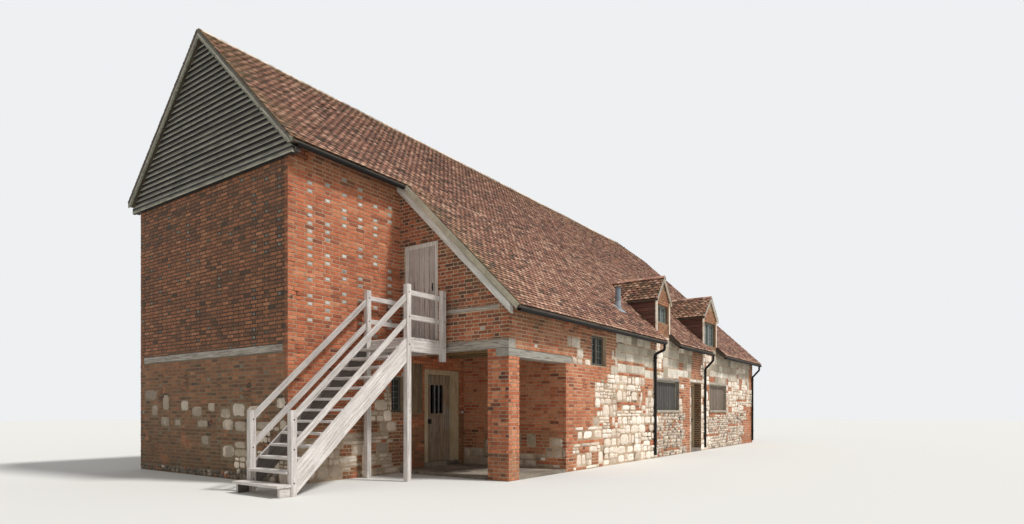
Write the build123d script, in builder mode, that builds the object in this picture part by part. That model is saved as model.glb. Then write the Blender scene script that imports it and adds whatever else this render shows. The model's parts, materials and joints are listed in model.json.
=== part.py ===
from build123d import *
import os
from math import copysign, cos, radians, tan

# A long two-storey farmhouse. A tall block at the west end has a boarded gable. East of it the
# main range comes forward under a low roof, over an open corner porch, with two dormers.
# Millimetres, +Z up, +X along the ridge, the front faces -Y. The origin is on the ground, in the
# middle of the plan. Places along the front are measured from the west gable, and those by the
# porch and the stair from the return wall, which faces west over the porch.

# Overall sizes
LENGTH = 20840              # gable face to gable face
BLOCK_DEPTH = 5625          # the tall block and the gable, front to back
AISLE_DEPTH = 2903          # how far the main range stands in front of the block
BLOCK_LENGTH = 2796         # west gable to the return wall
PORCH_LENGTH = 2168         # the open porch, along the front
UPPER_STOREY = 3329         # upper floor to the tile edge of the upper eaves
PITCH = 44.0

# Walls and floors
WALL = 450
RETURN_WALL = 220
PORCH_FRONT_WALL = 300
GABLE_BRICK_DROP = 187      # top of the gable's brickwork, below that tile edge
GROUND_FLOOR_Z = 100
PORCH_FLOOR_Z = 60
UPPER_FLOOR_Z = 2830
FLOOR_T = 150
FLOOR_BEAM = 200
EAST_FLOOR_START = 8200
JOIST = 90
JOIST_GAP = 400

# Roof
ROOF_T = 110
UPPER_EAVES = 300           # level distance from the wall to the tile edge
LOW_EAVES = 350
EAVES_EDGE = 40             # upright face at the tile edge
VERGE = 120
RETURN_VERGE = 130
HIP_RUN = 1640              # ridge end to the far gable
HIP_FALL = 815              # from the ridge to the foot of the half hip
RIDGE_TILE_W = 130
RIDGE_TILE_T = 25
PURLIN = 180
BARGE_SHOW = 20             # below the roof's underside
BARGE_T = 30
BOARDING_T = 120
BOARDING_PROUD = 40
RETURN_RAFTER_T = 95
RETURN_RAFTER_DEPTH = 210

# Porch timbers and pier
PIER_X = 348
PIER_Y = 499
RETURN_BEAM_DEPTH = 180
RETURN_BEAM_LOW = 90        # brickwork between it and the level of the upper floor
FRONT_BEAM_DEPTH = 170
FRONT_BEAM_BEARING = 266

# Timbers let into the brickwork
BAND_Z = 2430
BAND_DEPTH = 150
BAND_INSET = 160
TIE_START = 1320            # measured out from the block's front
TIE_END = 2680
TIE_Z = 3330
TIE_DEPTH = 80
TIMBER_BED = 60

# Doors. The porch door is measured from the return wall.
LEAF_T = 45
LEAF_GAP = 8
LEAF_PROUD = 6              # leaf's inner face past the back of its jambs
PORCH_DOOR = (904, 1694)
PORCH_DOOR_Z = (165, 2190)
PORCH_JAMB_WEST = 130
PORCH_JAMB_EAST = 290
PORCH_HEAD = 110
PORCH_LEAF_SET = 60
PORCH_JAMB_SET = 15
FRONT_DOOR = (13125, 14005)
FRONT_DOOR_Z = (100, 2190)
FRONT_JAMB = 75
FRONT_HEAD = 90
FRONT_LEAF_SET = 287
JAMB_DEPTH = 90
GRILLE_X = (1034, 1454)
GRILLE_Z = (1290, 1950)
GRILLE_BAR = 45
UPPER_DOOR = (240, 990)     # measured out from the block's front
UPPER_JAMB = 105
UPPER_DOOR_H = 1970
UPPER_HEAD = 105
UPPER_FRAME_SET = 25
HINGE_Z = (0.16, 0.80)      # shares of the leaf's height
HINGE_PIN = 7
HINGE_EYE = 12
HINGE_RUN = 0.3
HINGE_H = 80
HINGE_OUT = 20
STRAP_L = 320
STRAP_T = 8
EYE_H = 30                  # the pintle's eye, under the knuckle
EYE_ARM = 50
EYE_CLEAR = 3
LINTEL = (11700, 14300)
LINTEL_DEPTH = 220

# Windows: places along the wall and heights. The first two are measured from the return wall.
STAIR_WINDOW = ((-256, 104), (1320, 2080))
HATCH = ((344, 704), (1300, 2420))
UPPER_WINDOW_X = (6150, 6920)
UPPER_WINDOW_DROP = 343     # its head below the wall top
UPPER_WINDOW_H = 720
WEST_SHUTTER = ((10110, 11950), (1300, 2260))
EAST_SHUTTER = ((14950, 16990), (1300, 2300))
BACK_WINDOWS = 4            # evenly spread, on each storey
BACK_WINDOW_W = 1100
BACK_LOW_Z = (1300, 2300)
BACK_HIGH_SILL = 1070       # above the upper floor
BACK_HIGH_H = 900
FAR_WINDOW_Y = 2400         # centre, from the back wall
FRAME = 60
FRAME_T = 80
FRAME_SET = 90
GLASS_T = 8
SHUTTER_T = 40
SILL_OUT = 45
SILL_H = 70

# Dormers: middle, width, then the eaves, the ridge and the sill, above the wall top
DORMERS = ((10620, 1000, 1107, 1787, 430), (15030, 1420, 1097, 1847, 140))
DORMER_FRONT_T = 150
DORMER_CHEEK = 110
DORMER_ROOF_T = 60
DORMER_OVERHANG = 70
DORMER_JAMB = 120
DORMER_HEAD = 150

# Rainwater goods and flue
GUTTER_R = 55
GUTTER_T = 4
GUTTER_OUT = 30
LOW_GUTTERS = ((2680, 10000), (11190, 14440), (15790, LENGTH + 90))
PIPE_R = 38
PIPES = ((9930, 250), (14380, 433), (LENGTH - 140, 433))   # place, and drop from gutter to elbow
PIPE_FOOT_Z = 90
PIPE_BEND_R = 70
PIPE_CLEAR = 12             # pipe to the wall
PIPE_CLIPS = (0.25, 0.61, 0.93)   # shares of the elbow's height
CLIP_H = 40
CLIP_EAR = 15
FLUE_X = 8640
FLUE_OUT = 503              # in from the front wall's face
FLUE_R = 75
FLUE_RISE = 569             # above the tiles
FLUE_CAP_R = 95
SLATE = 380
SLATE_T = 10

# Outside stair: it climbs east to the return wall, and its foot is west of the gable face
POST = 110
STAIR_OUTER_Y = 1350        # outer face, out from the block's front
STAIR_INNER_Y = 125
LANDING_LENGTH = 1136       # head posts' west face to the return wall
FLIGHT_RUN = 2430           # between the foot posts and the head posts
LANDING_STEP = 60           # up from the landing to the upper floor
LANDING_BOARD = 40
LANDING_FASCIA = 280
RISERS = 14
GOING = 215
TREAD_DEPTH = 255
TREAD_T = 45
BEARER_SET = 60             # back from the lowest tread's nosing
STRINGER_T = 55
STRINGER_DEPTH = 345
STRINGER_SET = 20           # in from the posts' outer faces
STRINGER_FOOT_Z = 500
POST_ABOVE = 1000
FOOT_POST_Z = 1360
LAST_POST_BACK = 196        # from the return wall
LAST_POST_Z = 2340
RAIL_DEPTH = 100
RAIL_T = 45
RAIL_TOP = 800
RAIL_MID = 330

# Places worked out from the sizes
west = -LENGTH / 2
east = LENGTH / 2
front = -(BLOCK_DEPTH + AISLE_DEPTH) / 2
block_front = front + AISLE_DEPTH
back = block_front + BLOCK_DEPTH
ridge_y = block_front + BLOCK_DEPTH / 2
return_x = west + BLOCK_LENGTH
return_inner = return_x + RETURN_WALL
porch_side = return_x + PORCH_LENGTH
porch_inner = porch_side + WALL
floor_under = UPPER_FLOOR_Z - FLOOR_T
return_beam_top_z = UPPER_FLOOR_Z - RETURN_BEAM_LOW
return_beam_z = return_beam_top_z - RETURN_BEAM_DEPTH
pier_top_z = return_beam_z - FRONT_BEAM_DEPTH
slope = tan(radians(PITCH))
roof_drop = ROOF_T / cos(radians(PITCH))
upper_eaves_y = block_front - UPPER_EAVES
low_eaves_y = front - LOW_EAVES
back_eaves_y = back + UPPER_EAVES
verge_west = west - VERGE
verge_east = east + VERGE
eaves_edge_z = UPPER_FLOOR_Z + UPPER_STOREY
ridge_top_z = eaves_edge_z + (BLOCK_DEPTH / 2 + UPPER_EAVES) * slope
gable_brick_z = eaves_edge_z - GABLE_BRICK_DROP
hip_foot_z = ridge_top_z - HIP_FALL
landing_z = UPPER_FLOOR_Z - LANDING_STEP
riser = landing_z / RISERS
stair_slope = riser / GOING


def roof_top(y):
    """Height of the main roof's tiled face."""
    return ridge_top_z - abs(y - ridge_y) * slope


def roof_under(y):
    """Height of the underside of the main roof."""
    return roof_top(y) - roof_drop


def where_top(z):
    """Place on the front slope where the tiled face has this height."""
    return ridge_y - (ridge_top_z - z) / slope


wall_top = roof_under(front)
upper_window_head = wall_top - UPPER_WINDOW_DROP
upper_window_z = (upper_window_head - UPPER_WINDOW_H, upper_window_head)


def bar(x, y, z, mode=Mode.ADD):
    """Adds a box between two corners to the piece in hand, or cuts it out."""
    with BuildSketch(Plane.XY.offset(z[0])) as outline:
        with Locations(((x[0] + x[1]) / 2, (y[0] + y[1]) / 2)):
            Rectangle(x[1] - x[0], y[1] - y[0])
    extrude(outline.sketch, amount=z[1] - z[0], mode=mode)


def across(points, x, mode=Mode.ADD):
    """Adds a prism along X from an outline of (y, z) points."""
    with BuildSketch(Plane.YZ.offset(x[0])) as outline:
        with BuildLine():
            Polyline(*points, close=True)
        make_face()
    extrude(outline.sketch, amount=x[1] - x[0], mode=mode)


def inward(points, y, mode=Mode.ADD):
    """Adds a prism along Y from an outline of (x, z) points."""
    with BuildSketch(Plane.XZ.offset(-y[1])) as outline:
        with BuildLine():
            Polyline(*points, close=True)
        make_face()
    extrude(outline.sketch, amount=y[1] - y[0], mode=mode)


def upright(x, y, z, radius, mode=Mode.ADD):
    """Adds a round upright bar."""
    with BuildSketch(Plane.XY.offset(z[0])) as outline:
        with Locations((x, y)):
            Circle(radius)
    extrude(outline.sketch, amount=z[1] - z[0], mode=mode)


def under_roof(y_low, y_high, z):
    """Outline of a wall that stands under the front slope, from height z up to the roof."""
    return ((y_low, z), (y_high, z), (y_high, roof_under(y_high)), (y_low, roof_under(y_low)))


def span(size):
    """Turns a pair of places along the front into X."""
    return (west + size[0], west + size[1])


def by_return(size):
    """Turns a pair of places measured from the return wall into X."""
    return (return_x + size[0], return_x + size[1])


def save(piece, name):
    """Labels a finished piece and writes it."""
    piece.part.label = name
    export_step(piece.part, f"parts/{name}.step")


os.makedirs("parts", exist_ok=True)

# Ground floor, kept inside the walls and out of the porch
with BuildPart() as ground_floor:
    bar((west + WALL, east - WALL), (block_front + WALL, back - WALL), (0, GROUND_FLOOR_Z))
    bar((porch_inner, east - WALL), (front + WALL, block_front + WALL), (0, GROUND_FLOOR_Z))
save(ground_floor, "ground_floor")

# Paved floor of the porch, round the pier
pier_y = (front, front + PIER_Y)
pier_x = (return_x, return_x + PIER_X)
with BuildPart() as porch_floor:
    bar((return_x, porch_side), (front, block_front), (0, PORCH_FLOOR_Z))
    bar(pier_x, pier_y, (0, PORCH_FLOOR_Z), Mode.SUBTRACT)
save(porch_floor, "porch_floor")

# West gable, brick, with an old timber let into its face
band_y = (block_front + BAND_INSET, back - BAND_INSET)
band_z = (BAND_Z, BAND_Z + BAND_DEPTH)
with BuildPart() as gable_wall:
    bar((west, west + WALL), (block_front, back), (0, gable_brick_z))
    bar((west, west + TIMBER_BED), band_y, band_z, Mode.SUBTRACT)
save(gable_wall, "gable_wall")

# Boarded triangle above the brickwork
box_end = UPPER_EAVES - EAVES_EDGE
boarding_y = (block_front - box_end, back + box_end)
with BuildPart() as gable_boarding:
    across(
        (
            (boarding_y[0], gable_brick_z),
            (boarding_y[1], gable_brick_z),
            (boarding_y[1], roof_under(boarding_y[1])),
            (ridge_y, roof_under(ridge_y)),
            (boarding_y[0], roof_under(boarding_y[0])),
        ),
        (west - BOARDING_PROUD, west + BOARDING_T - BOARDING_PROUD),
    )
save(gable_boarding, "gable_boarding")


def verge_board(eaves_y):
    """Adds a board over the edge of the verge, from the eaves to the ridge."""
    inward = copysign(1, ridge_y - eaves_y)
    foot_z = roof_top(eaves_y) - EAVES_EDGE - BARGE_SHOW
    across(
        (
            (eaves_y, roof_top(eaves_y)),
            (ridge_y, ridge_top_z),
            (ridge_y, ridge_top_z - roof_drop - BARGE_SHOW),
            (eaves_y + inward * (roof_drop - EAVES_EDGE) / slope, foot_z),
            (eaves_y, foot_z),
        ),
        (verge_west - BARGE_T, verge_west),
    )


with BuildPart() as gable_bargeboards:
    verge_board(upper_eaves_y)
    verge_board(back_eaves_y)
save(gable_bargeboards, "gable_bargeboards")

# Front wall of the tall block, full height, with the small window behind the stair
stair_window_x = by_return(STAIR_WINDOW[0])
with BuildPart() as block_wall:
    across(under_roof(block_front, block_front + WALL, 0), (west + WALL, return_inner))
    bar(stair_window_x, (block_front, block_front + WALL), STAIR_WINDOW[1], Mode.SUBTRACT)
save(block_wall, "block_wall")

# Back wall of the porch, on both sides of the doorway
porch_leaf_x = by_return(PORCH_DOOR)
porch_frame_x = (porch_leaf_x[0] - PORCH_JAMB_WEST, porch_leaf_x[1] + PORCH_JAMB_EAST)
porch_head_z = PORCH_DOOR_Z[1] + PORCH_HEAD
hatch_x = by_return(HATCH[0])
with BuildPart() as porch_back_walls:
    bar((return_inner, porch_frame_x[0]), (block_front, block_front + WALL), (0, floor_under))
    bar((porch_frame_x[1], porch_inner), (block_front, block_front + WALL), (0, floor_under))
    bar(hatch_x, (block_front, block_front + TIMBER_BED), HATCH[1], Mode.SUBTRACT)
save(porch_back_walls, "porch_back_walls")

with BuildPart() as porch_door_over_wall:
    bar(porch_frame_x, (block_front, block_front + WALL), (porch_head_z, floor_under))
save(porch_door_over_wall, "porch_door_over_wall")

with BuildPart() as porch_side_wall:
    bar((porch_side, porch_inner), (front + WALL, block_front), (0, floor_under))
save(porch_side_wall, "porch_side_wall")

# Corner pier and the two beams that carry the walls over the porch
beam_y = (front, front + PORCH_FRONT_WALL)
front_beam_x = (return_x, porch_side + FRONT_BEAM_BEARING)
with BuildPart() as porch_pier:
    bar(pier_x, pier_y, (0, pier_top_z))
    bar(pier_x, (beam_y[1], pier_y[1]), (pier_top_z, return_beam_z))
save(porch_pier, "porch_pier")

with BuildPart() as front_beam:
    bar(front_beam_x, beam_y, (pier_top_z, return_beam_z))
save(front_beam, "front_beam")

with BuildPart() as return_beam:
    bar((return_x, return_inner), (front, block_front), (return_beam_z, return_beam_top_z))
save(return_beam, "return_beam")

# Return wall over the porch, with the upper doorway and a bed for its tie
upper_frame_y = (block_front - UPPER_DOOR[1] - UPPER_JAMB, block_front - UPPER_DOOR[0] + UPPER_JAMB)
upper_door_top_z = UPPER_FLOOR_Z + UPPER_DOOR_H
upper_head_z = upper_door_top_z + UPPER_HEAD
tie_y = (block_front - TIE_END, block_front - TIE_START)
tie_z = (TIE_Z, TIE_Z + TIE_DEPTH)
with BuildPart() as return_wall:
    across(under_roof(front, block_front, return_beam_top_z), (return_x, return_inner))
    bar((return_x, return_inner), upper_frame_y, (UPPER_FLOOR_Z, upper_head_z), Mode.SUBTRACT)
    bar((return_x, return_x + TIMBER_BED), tie_y, tie_z, Mode.SUBTRACT)
save(return_wall, "return_wall")

# The timbers that lie in the beds of the gable and the return wall
with BuildPart() as wall_timbers:
    bar((west, west + TIMBER_BED), band_y, band_z)
    bar((return_x, return_x + TIMBER_BED), tie_y, tie_z)
save(wall_timbers, "wall_timbers")

rafter_foot_y = low_eaves_y + EAVES_EDGE + RETURN_RAFTER_DEPTH
with BuildPart() as return_rafter:
    across(
        (
            (rafter_foot_y, roof_under(rafter_foot_y)),
            (block_front, roof_under(block_front)),
            (block_front, roof_under(block_front) - RETURN_RAFTER_DEPTH),
            (rafter_foot_y, roof_under(rafter_foot_y) - RETURN_RAFTER_DEPTH),
        ),
        (return_x - RETURN_RAFTER_T, return_x),
    )
save(return_rafter, "return_rafter")

# Front walls of the main range. Their tops are level under the dormers.
front_wall_y = (front, front + WALL)


def dormer_sides(dormer):
    """X of a dormer's two cheeks, outside."""
    return (west + dormer[0] - dormer[1] / 2, west + dormer[0] + dormer[1] / 2)


def dormer_bearing():
    """Cuts the wall top level under each dormer."""
    for dormer in DORMERS:
        bar(dormer_sides(dormer), front_wall_y, (wall_top, roof_under(front + WALL)), Mode.SUBTRACT)


door_gap = (west + FRONT_DOOR[0] - FRONT_JAMB, west + FRONT_DOOR[1] + FRONT_JAMB)
door_head_z = FRONT_DOOR_Z[1] + FRONT_HEAD
lintel_x = span(LINTEL)
lintel_z = (door_head_z, door_head_z + LINTEL_DEPTH)
upper_window_x = span(UPPER_WINDOW_X)
west_shutter_x = span(WEST_SHUTTER[0])
east_shutter_x = span(EAST_SHUTTER[0])
with BuildPart() as front_wall_west:
    across(under_roof(*front_wall_y, 0), (porch_side, door_gap[0]))
    bar(front_beam_x, beam_y, (pier_top_z, return_beam_z), Mode.SUBTRACT)
    bar(upper_window_x, front_wall_y, upper_window_z, Mode.SUBTRACT)
    bar(west_shutter_x, front_wall_y, WEST_SHUTTER[1], Mode.SUBTRACT)
    bar(lintel_x, front_wall_y, lintel_z, Mode.SUBTRACT)
    dormer_bearing()
save(front_wall_west, "front_wall_west")

with BuildPart() as porch_front_wall:
    across(under_roof(*beam_y, return_beam_z), (return_inner, porch_side))
save(porch_front_wall, "porch_front_wall")

with BuildPart() as front_door_over_wall:
    across(under_roof(*front_wall_y, lintel_z[1]), door_gap)
save(front_door_over_wall, "front_door_over_wall")

with BuildPart() as front_wall_east:
    across(under_roof(*front_wall_y, 0), (door_gap[1], east - WALL))
    bar(east_shutter_x, front_wall_y, EAST_SHUTTER[1], Mode.SUBTRACT)
    bar(lintel_x, front_wall_y, lintel_z, Mode.SUBTRACT)
    dormer_bearing()
save(front_wall_east, "front_wall_east")

with BuildPart() as front_door_lintel:
    bar(lintel_x, front_wall_y, lintel_z)
save(front_door_lintel, "front_door_lintel")

# Back wall and far gable, with plain windows that repeat the two storeys
back_wall_y = (back - WALL, back)
back_windows = []
back_high_sill_z = UPPER_FLOOR_Z + BACK_HIGH_SILL
back_high_z = (back_high_sill_z, back_high_sill_z + BACK_HIGH_H)
for number in range(BACK_WINDOWS):
    middle = west + (number + 0.5) * LENGTH / BACK_WINDOWS
    side = (middle - BACK_WINDOW_W / 2, middle + BACK_WINDOW_W / 2)
    for heights in (BACK_LOW_Z, back_high_z):
        back_windows.append((side, heights))
back_wall_outline = (
    (back - WALL, 0),
    (back, 0),
    (back, roof_under(back)),
    (back - WALL, roof_under(back - WALL)),
)
with BuildPart() as back_wall:
    across(back_wall_outline, (west + WALL, east - WALL))
    for side, heights in back_windows:
        bar(side, back_wall_y, heights, Mode.SUBTRACT)
save(back_wall, "back_wall")

far_wall_x = (east - WALL, east)
far_middle = back - FAR_WINDOW_Y
far_window_y = (far_middle - BACK_WINDOW_W / 2, far_middle + BACK_WINDOW_W / 2)
hip_x = east - HIP_RUN
hip_slope = (ridge_top_z - hip_foot_z) / (verge_east - hip_x)
hip_top = Plane(origin=(hip_x, ridge_y, ridge_top_z), x_dir=(0, 1, 0), z_dir=(hip_slope, 0, 1))
hip_under = hip_top.offset(-ROOF_T)
with BuildPart() as far_gable_wall:
    across(
        (
            (front, 0),
            (back, 0),
            (back, roof_under(back)),
            (ridge_y, roof_under(ridge_y)),
            (front, wall_top),
        ),
        far_wall_x,
    )
    split(bisect_by=hip_under, keep=Keep.BOTTOM)
    for heights in (BACK_LOW_Z, back_high_z):
        bar(far_wall_x, far_window_y, heights, Mode.SUBTRACT)
save(far_gable_wall, "far_gable_wall")

# Upper floor over the west rooms and the porch, and over the east rooms
west_floor_end = porch_inner
east_floor_start = west + EAST_FLOOR_START
floor_z = (floor_under, UPPER_FLOOR_Z)
with BuildPart() as upper_floors:
    bar((west + WALL, west_floor_end), (block_front + WALL, back - WALL), floor_z)
    bar((return_inner, west_floor_end), (front + WALL, block_front + WALL), floor_z)
    bar((return_inner, porch_side), (beam_y[1], front + WALL), floor_z)
    bar((east_floor_start, east - WALL), (front + WALL, back - WALL), floor_z)
save(upper_floors, "upper_floors")

# Beams under the floors' open edges and joists over the porch
beam_z = (floor_under - FLOOR_BEAM, floor_under)
joist_z = (floor_under - JOIST, floor_under)
joist_count = int((PORCH_LENGTH - RETURN_WALL) / JOIST_GAP)
with BuildPart() as floor_timbers:
    bar((west_floor_end - FLOOR_BEAM, west_floor_end), (block_front + WALL, back - WALL), beam_z)
    bar((east_floor_start, east_floor_start + FLOOR_BEAM), (front + WALL, back - WALL), beam_z)
    for number in range(joist_count):
        joist_x = return_inner + JOIST_GAP * (number + 0.5)
        bar((joist_x, joist_x + JOIST), (beam_y[1], block_front), joist_z)
save(floor_timbers, "floor_timbers")

# Roof slopes. Each lower edge is cut to an upright face and a level soffit.


def front_slope(y_low, y_high, eaves=True):
    """Outline of a stretch of the front slope."""
    if not eaves:
        return (
            (y_low, roof_under(y_low)),
            (y_high, roof_under(y_high)),
            (y_high, roof_top(y_high)),
            (y_low, roof_top(y_low)),
        )
    soffit_z = roof_top(y_low) - EAVES_EDGE
    return (
        (y_low, soffit_z),
        (y_low + (soffit_z - roof_under(y_low)) / slope, soffit_z),
        (y_high, roof_under(y_high)),
        (y_high, roof_top(y_high)),
        (y_low, roof_top(y_low)),
    )


back_slope = [(2 * ridge_y - y, z) for y, z in front_slope(upper_eaves_y, ridge_y)]
with BuildPart() as roof_front:
    across(front_slope(upper_eaves_y, ridge_y), (verge_west, return_x - RETURN_VERGE))
    across(front_slope(upper_eaves_y, ridge_y, False), (return_x - RETURN_VERGE, verge_east))
    split(bisect_by=hip_top, keep=Keep.BOTTOM)
save(roof_front, "roof_front")

with BuildPart() as roof_back:
    across(back_slope, (verge_west, verge_east))
    split(bisect_by=hip_top, keep=Keep.BOTTOM)
save(roof_back, "roof_back")

dormer_head_y = max(where_top(wall_top + dormer[2]) for dormer in DORMERS)
with BuildPart() as roof_catslide:
    across(
        front_slope(dormer_head_y, upper_eaves_y, False),
        (return_x - RETURN_VERGE, verge_east),
    )
save(roof_catslide, "roof_catslide")

low_stretches = []
low_start = return_x - RETURN_VERGE
for dormer in DORMERS:
    low_stretches.append((low_start, dormer_sides(dormer)[0]))
    low_start = dormer_sides(dormer)[1]
low_stretches.append((low_start, verge_east))
with BuildPart() as roof_low:
    for stretch in low_stretches:
        across(front_slope(low_eaves_y, dormer_head_y), stretch)
save(roof_low, "roof_low")

# Half hip at the far end, between the two slopes
with BuildPart() as half_hip:
    across(
        (
            (back_eaves_y, roof_under(back_eaves_y)),
            (ridge_y, roof_under(ridge_y)),
            (upper_eaves_y, roof_under(upper_eaves_y)),
        ),
        (hip_x, verge_east),
    )
    split(bisect_by=hip_top, keep=Keep.BOTTOM)
    split(bisect_by=hip_under, keep=Keep.TOP)
save(half_hip, "half_hip")

# Ridge tiles, laid over the top of both slopes
with BuildPart() as ridge_tiles:
    across(
        (
            (ridge_y - RIDGE_TILE_W, roof_top(ridge_y - RIDGE_TILE_W)),
            (ridge_y, ridge_top_z),
            (ridge_y + RIDGE_TILE_W, roof_top(ridge_y + RIDGE_TILE_W)),
            (ridge_y + RIDGE_TILE_W, roof_top(ridge_y + RIDGE_TILE_W) + RIDGE_TILE_T),
            (ridge_y, ridge_top_z + RIDGE_TILE_T),
            (ridge_y - RIDGE_TILE_W, roof_top(ridge_y - RIDGE_TILE_W) + RIDGE_TILE_T),
        ),
        (verge_west, hip_x),
    )
save(ridge_tiles, "ridge_tiles")

# Purlins, carried by the gables and the return wall
far_bearing = far_wall_x[0]
with BuildPart() as roof_timbers:
    for purlin_y in (
        (block_front + ridge_y) / 2,
        (front + WALL + block_front) / 2,
        (back + ridge_y) / 2,
    ):
        lowest = min(roof_under(purlin_y - PURLIN / 2), roof_under(purlin_y + PURLIN / 2))
        start = return_inner if purlin_y < block_front else west + BOARDING_T - BOARDING_PROUD
        bar(
            (start, far_bearing),
            (purlin_y - PURLIN / 2, purlin_y + PURLIN / 2),
            (lowest - PURLIN, lowest),
        )
save(roof_timbers, "roof_timbers")

# Dormers: brick front and cheeks on the wall top, roofs that run back into the slope


def dormer_slope(dormer):
    """Rise of a dormer roof's underside for each unit towards its middle."""
    return (dormer[3] - DORMER_ROOF_T - dormer[2]) / (dormer[1] / 2)


def dormer_window(dormer):
    """X and Z of a dormer's window opening."""
    side = dormer_sides(dormer)
    heights = (wall_top + dormer[4], wall_top + dormer[2] - DORMER_HEAD)
    return (side[0] + DORMER_JAMB, side[1] - DORMER_JAMB), heights


with BuildPart() as dormer_walls:
    for dormer in DORMERS:
        centre = west + dormer[0]
        half = dormer[1] / 2
        inner = half - DORMER_CHEEK
        eaves_z = wall_top + dormer[2]
        rise = dormer_slope(dormer)
        window_x, window_z = dormer_window(dormer)
        cheek_back = where_top(eaves_z)
        inward(
            (
                (centre - half, wall_top),
                (centre + half, wall_top),
                (centre + half, eaves_z),
                (centre, eaves_z + half * rise),
                (centre - half, eaves_z),
            ),
            (front, cheek_back),
        )
        inward(
            (
                (centre - inner, wall_top),
                (centre + inner, wall_top),
                (centre + inner, eaves_z + DORMER_CHEEK * rise),
                (centre, eaves_z + half * rise),
                (centre - inner, eaves_z + DORMER_CHEEK * rise),
            ),
            (front + DORMER_FRONT_T, cheek_back),
            Mode.SUBTRACT,
        )
        bar(window_x, (front, front + DORMER_FRONT_T), window_z, Mode.SUBTRACT)
        across(
            (
                (front + WALL, wall_top),
                (cheek_back, wall_top),
                (cheek_back, roof_under(cheek_back)),
            ),
            (centre - half, centre + half),
            Mode.SUBTRACT,
        )
save(dormer_walls, "dormer_walls")

with BuildPart() as dormer_roofs:
    for dormer in DORMERS:
        centre = west + dormer[0]
        reach = dormer[1] / 2 + DORMER_OVERHANG
        foot_z = wall_top + dormer[2] - DORMER_OVERHANG * dormer_slope(dormer)
        ridge_z = wall_top + dormer[3]
        inward(
            (
                (centre - reach, foot_z),
                (centre, ridge_z - DORMER_ROOF_T),
                (centre + reach, foot_z),
                (centre + reach, foot_z + DORMER_ROOF_T),
                (centre, ridge_z),
                (centre - reach, foot_z + DORMER_ROOF_T),
            ),
            (front - DORMER_OVERHANG, where_top(ridge_z)),
        )
    across(
        (
            (low_eaves_y, 0),
            (ridge_y, 0),
            (ridge_y, ridge_top_z),
            (low_eaves_y, roof_top(low_eaves_y)),
        ),
        (west, east),
        Mode.SUBTRACT,
    )
save(dormer_roofs, "dormer_roofs")


# Windows


def casement(x, y, z, mullions):
    """Adds a frame in a wall that runs along X, with upright mullions."""
    bar(x, y, z)
    light = (x[1] - x[0] - FRAME) / (mullions + 1)
    for number in range(mullions + 1):
        low = x[0] + FRAME + number * light
        bar((low, low + light - FRAME), y, (z[0] + FRAME, z[1] - FRAME), Mode.SUBTRACT)


def panes(x, y, z, mullions):
    """Adds the glass of such a frame, one sheet for each light."""
    light = (x[1] - x[0] - FRAME) / (mullions + 1)
    for number in range(mullions + 1):
        low = x[0] + FRAME + number * light
        bar((low, low + light - FRAME), (y - GLASS_T / 2, y + GLASS_T / 2), (z[0] + FRAME, z[1] - FRAME))


stair_frame_y = (block_front + FRAME_SET, block_front + FRAME_SET + FRAME_T)
front_frame_y = (front + FRAME_SET, front + FRAME_SET + FRAME_T)
back_frame_y = (back - FRAME_SET - FRAME_T, back - FRAME_SET)
dormer_frame_y = (front + DORMER_FRONT_T - FRAME_T, front + DORMER_FRONT_T)
far_frame_x = (east - FRAME_SET - FRAME_T, east - FRAME_SET)
light_windows = [
    (stair_window_x, stair_frame_y, STAIR_WINDOW[1], 0),
    (upper_window_x, front_frame_y, upper_window_z, 1),
]
for side, heights in back_windows:
    light_windows.append((side, back_frame_y, heights, 1))
dormer_lights = []
for dormer in DORMERS:
    window_x, window_z = dormer_window(dormer)
    dormer_lights.append((window_x, dormer_frame_y, window_z, 1))

with BuildPart() as window_frames:
    for side, depth, heights, mullions in light_windows:
        casement(side, depth, heights, mullions)
    for heights in (BACK_LOW_Z, back_high_z):
        bar(far_frame_x, far_window_y, heights)
        inner_y = (far_window_y[0] + FRAME, far_window_y[1] - FRAME)
        bar(far_frame_x, inner_y, (heights[0] + FRAME, heights[1] - FRAME), Mode.SUBTRACT)
save(window_frames, "window_frames")

with BuildPart() as dormer_windows:
    for side, depth, heights, mullions in dormer_lights:
        casement(side, depth, heights, mullions)
save(dormer_windows, "dormer_windows")

with BuildPart() as window_glass:
    for side, depth, heights, mullions in light_windows + dormer_lights:
        panes(side, sum(depth) / 2, heights, mullions)
    far_glass_x = sum(far_frame_x) / 2
    for heights in (BACK_LOW_Z, back_high_z):
        inner_y = (far_window_y[0] + FRAME, far_window_y[1] - FRAME)
        bar(
            (far_glass_x - GLASS_T / 2, far_glass_x + GLASS_T / 2),
            inner_y,
            (heights[0] + FRAME, heights[1] - FRAME),
        )
save(window_glass, "window_glass")

# Boarded windows: a frame with a lintel and a sill, and the boards inside it
shutters = ((west_shutter_x, WEST_SHUTTER[1]), (east_shutter_x, EAST_SHUTTER[1]))
with BuildPart() as shutter_frames:
    for side, heights in shutters:
        casement(side, front_frame_y, heights, 0)
        bar(side, (front - SILL_OUT, front_frame_y[0]), (heights[0], heights[0] + SILL_H))
save(shutter_frames, "shutter_frames")

with BuildPart() as window_shutters:
    for side, heights in shutters:
        bar(
            (side[0] + FRAME, side[1] - FRAME),
            (front_frame_y[0], front_frame_y[0] + SHUTTER_T),
            (heights[0] + FRAME, heights[1] - FRAME),
        )
    bar(hatch_x, (block_front, block_front + TIMBER_BED), HATCH[1])
save(window_shutters, "window_shutters")

# Hinge parts. The pin stands behind the leaf, in an eye on the jamb.


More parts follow.
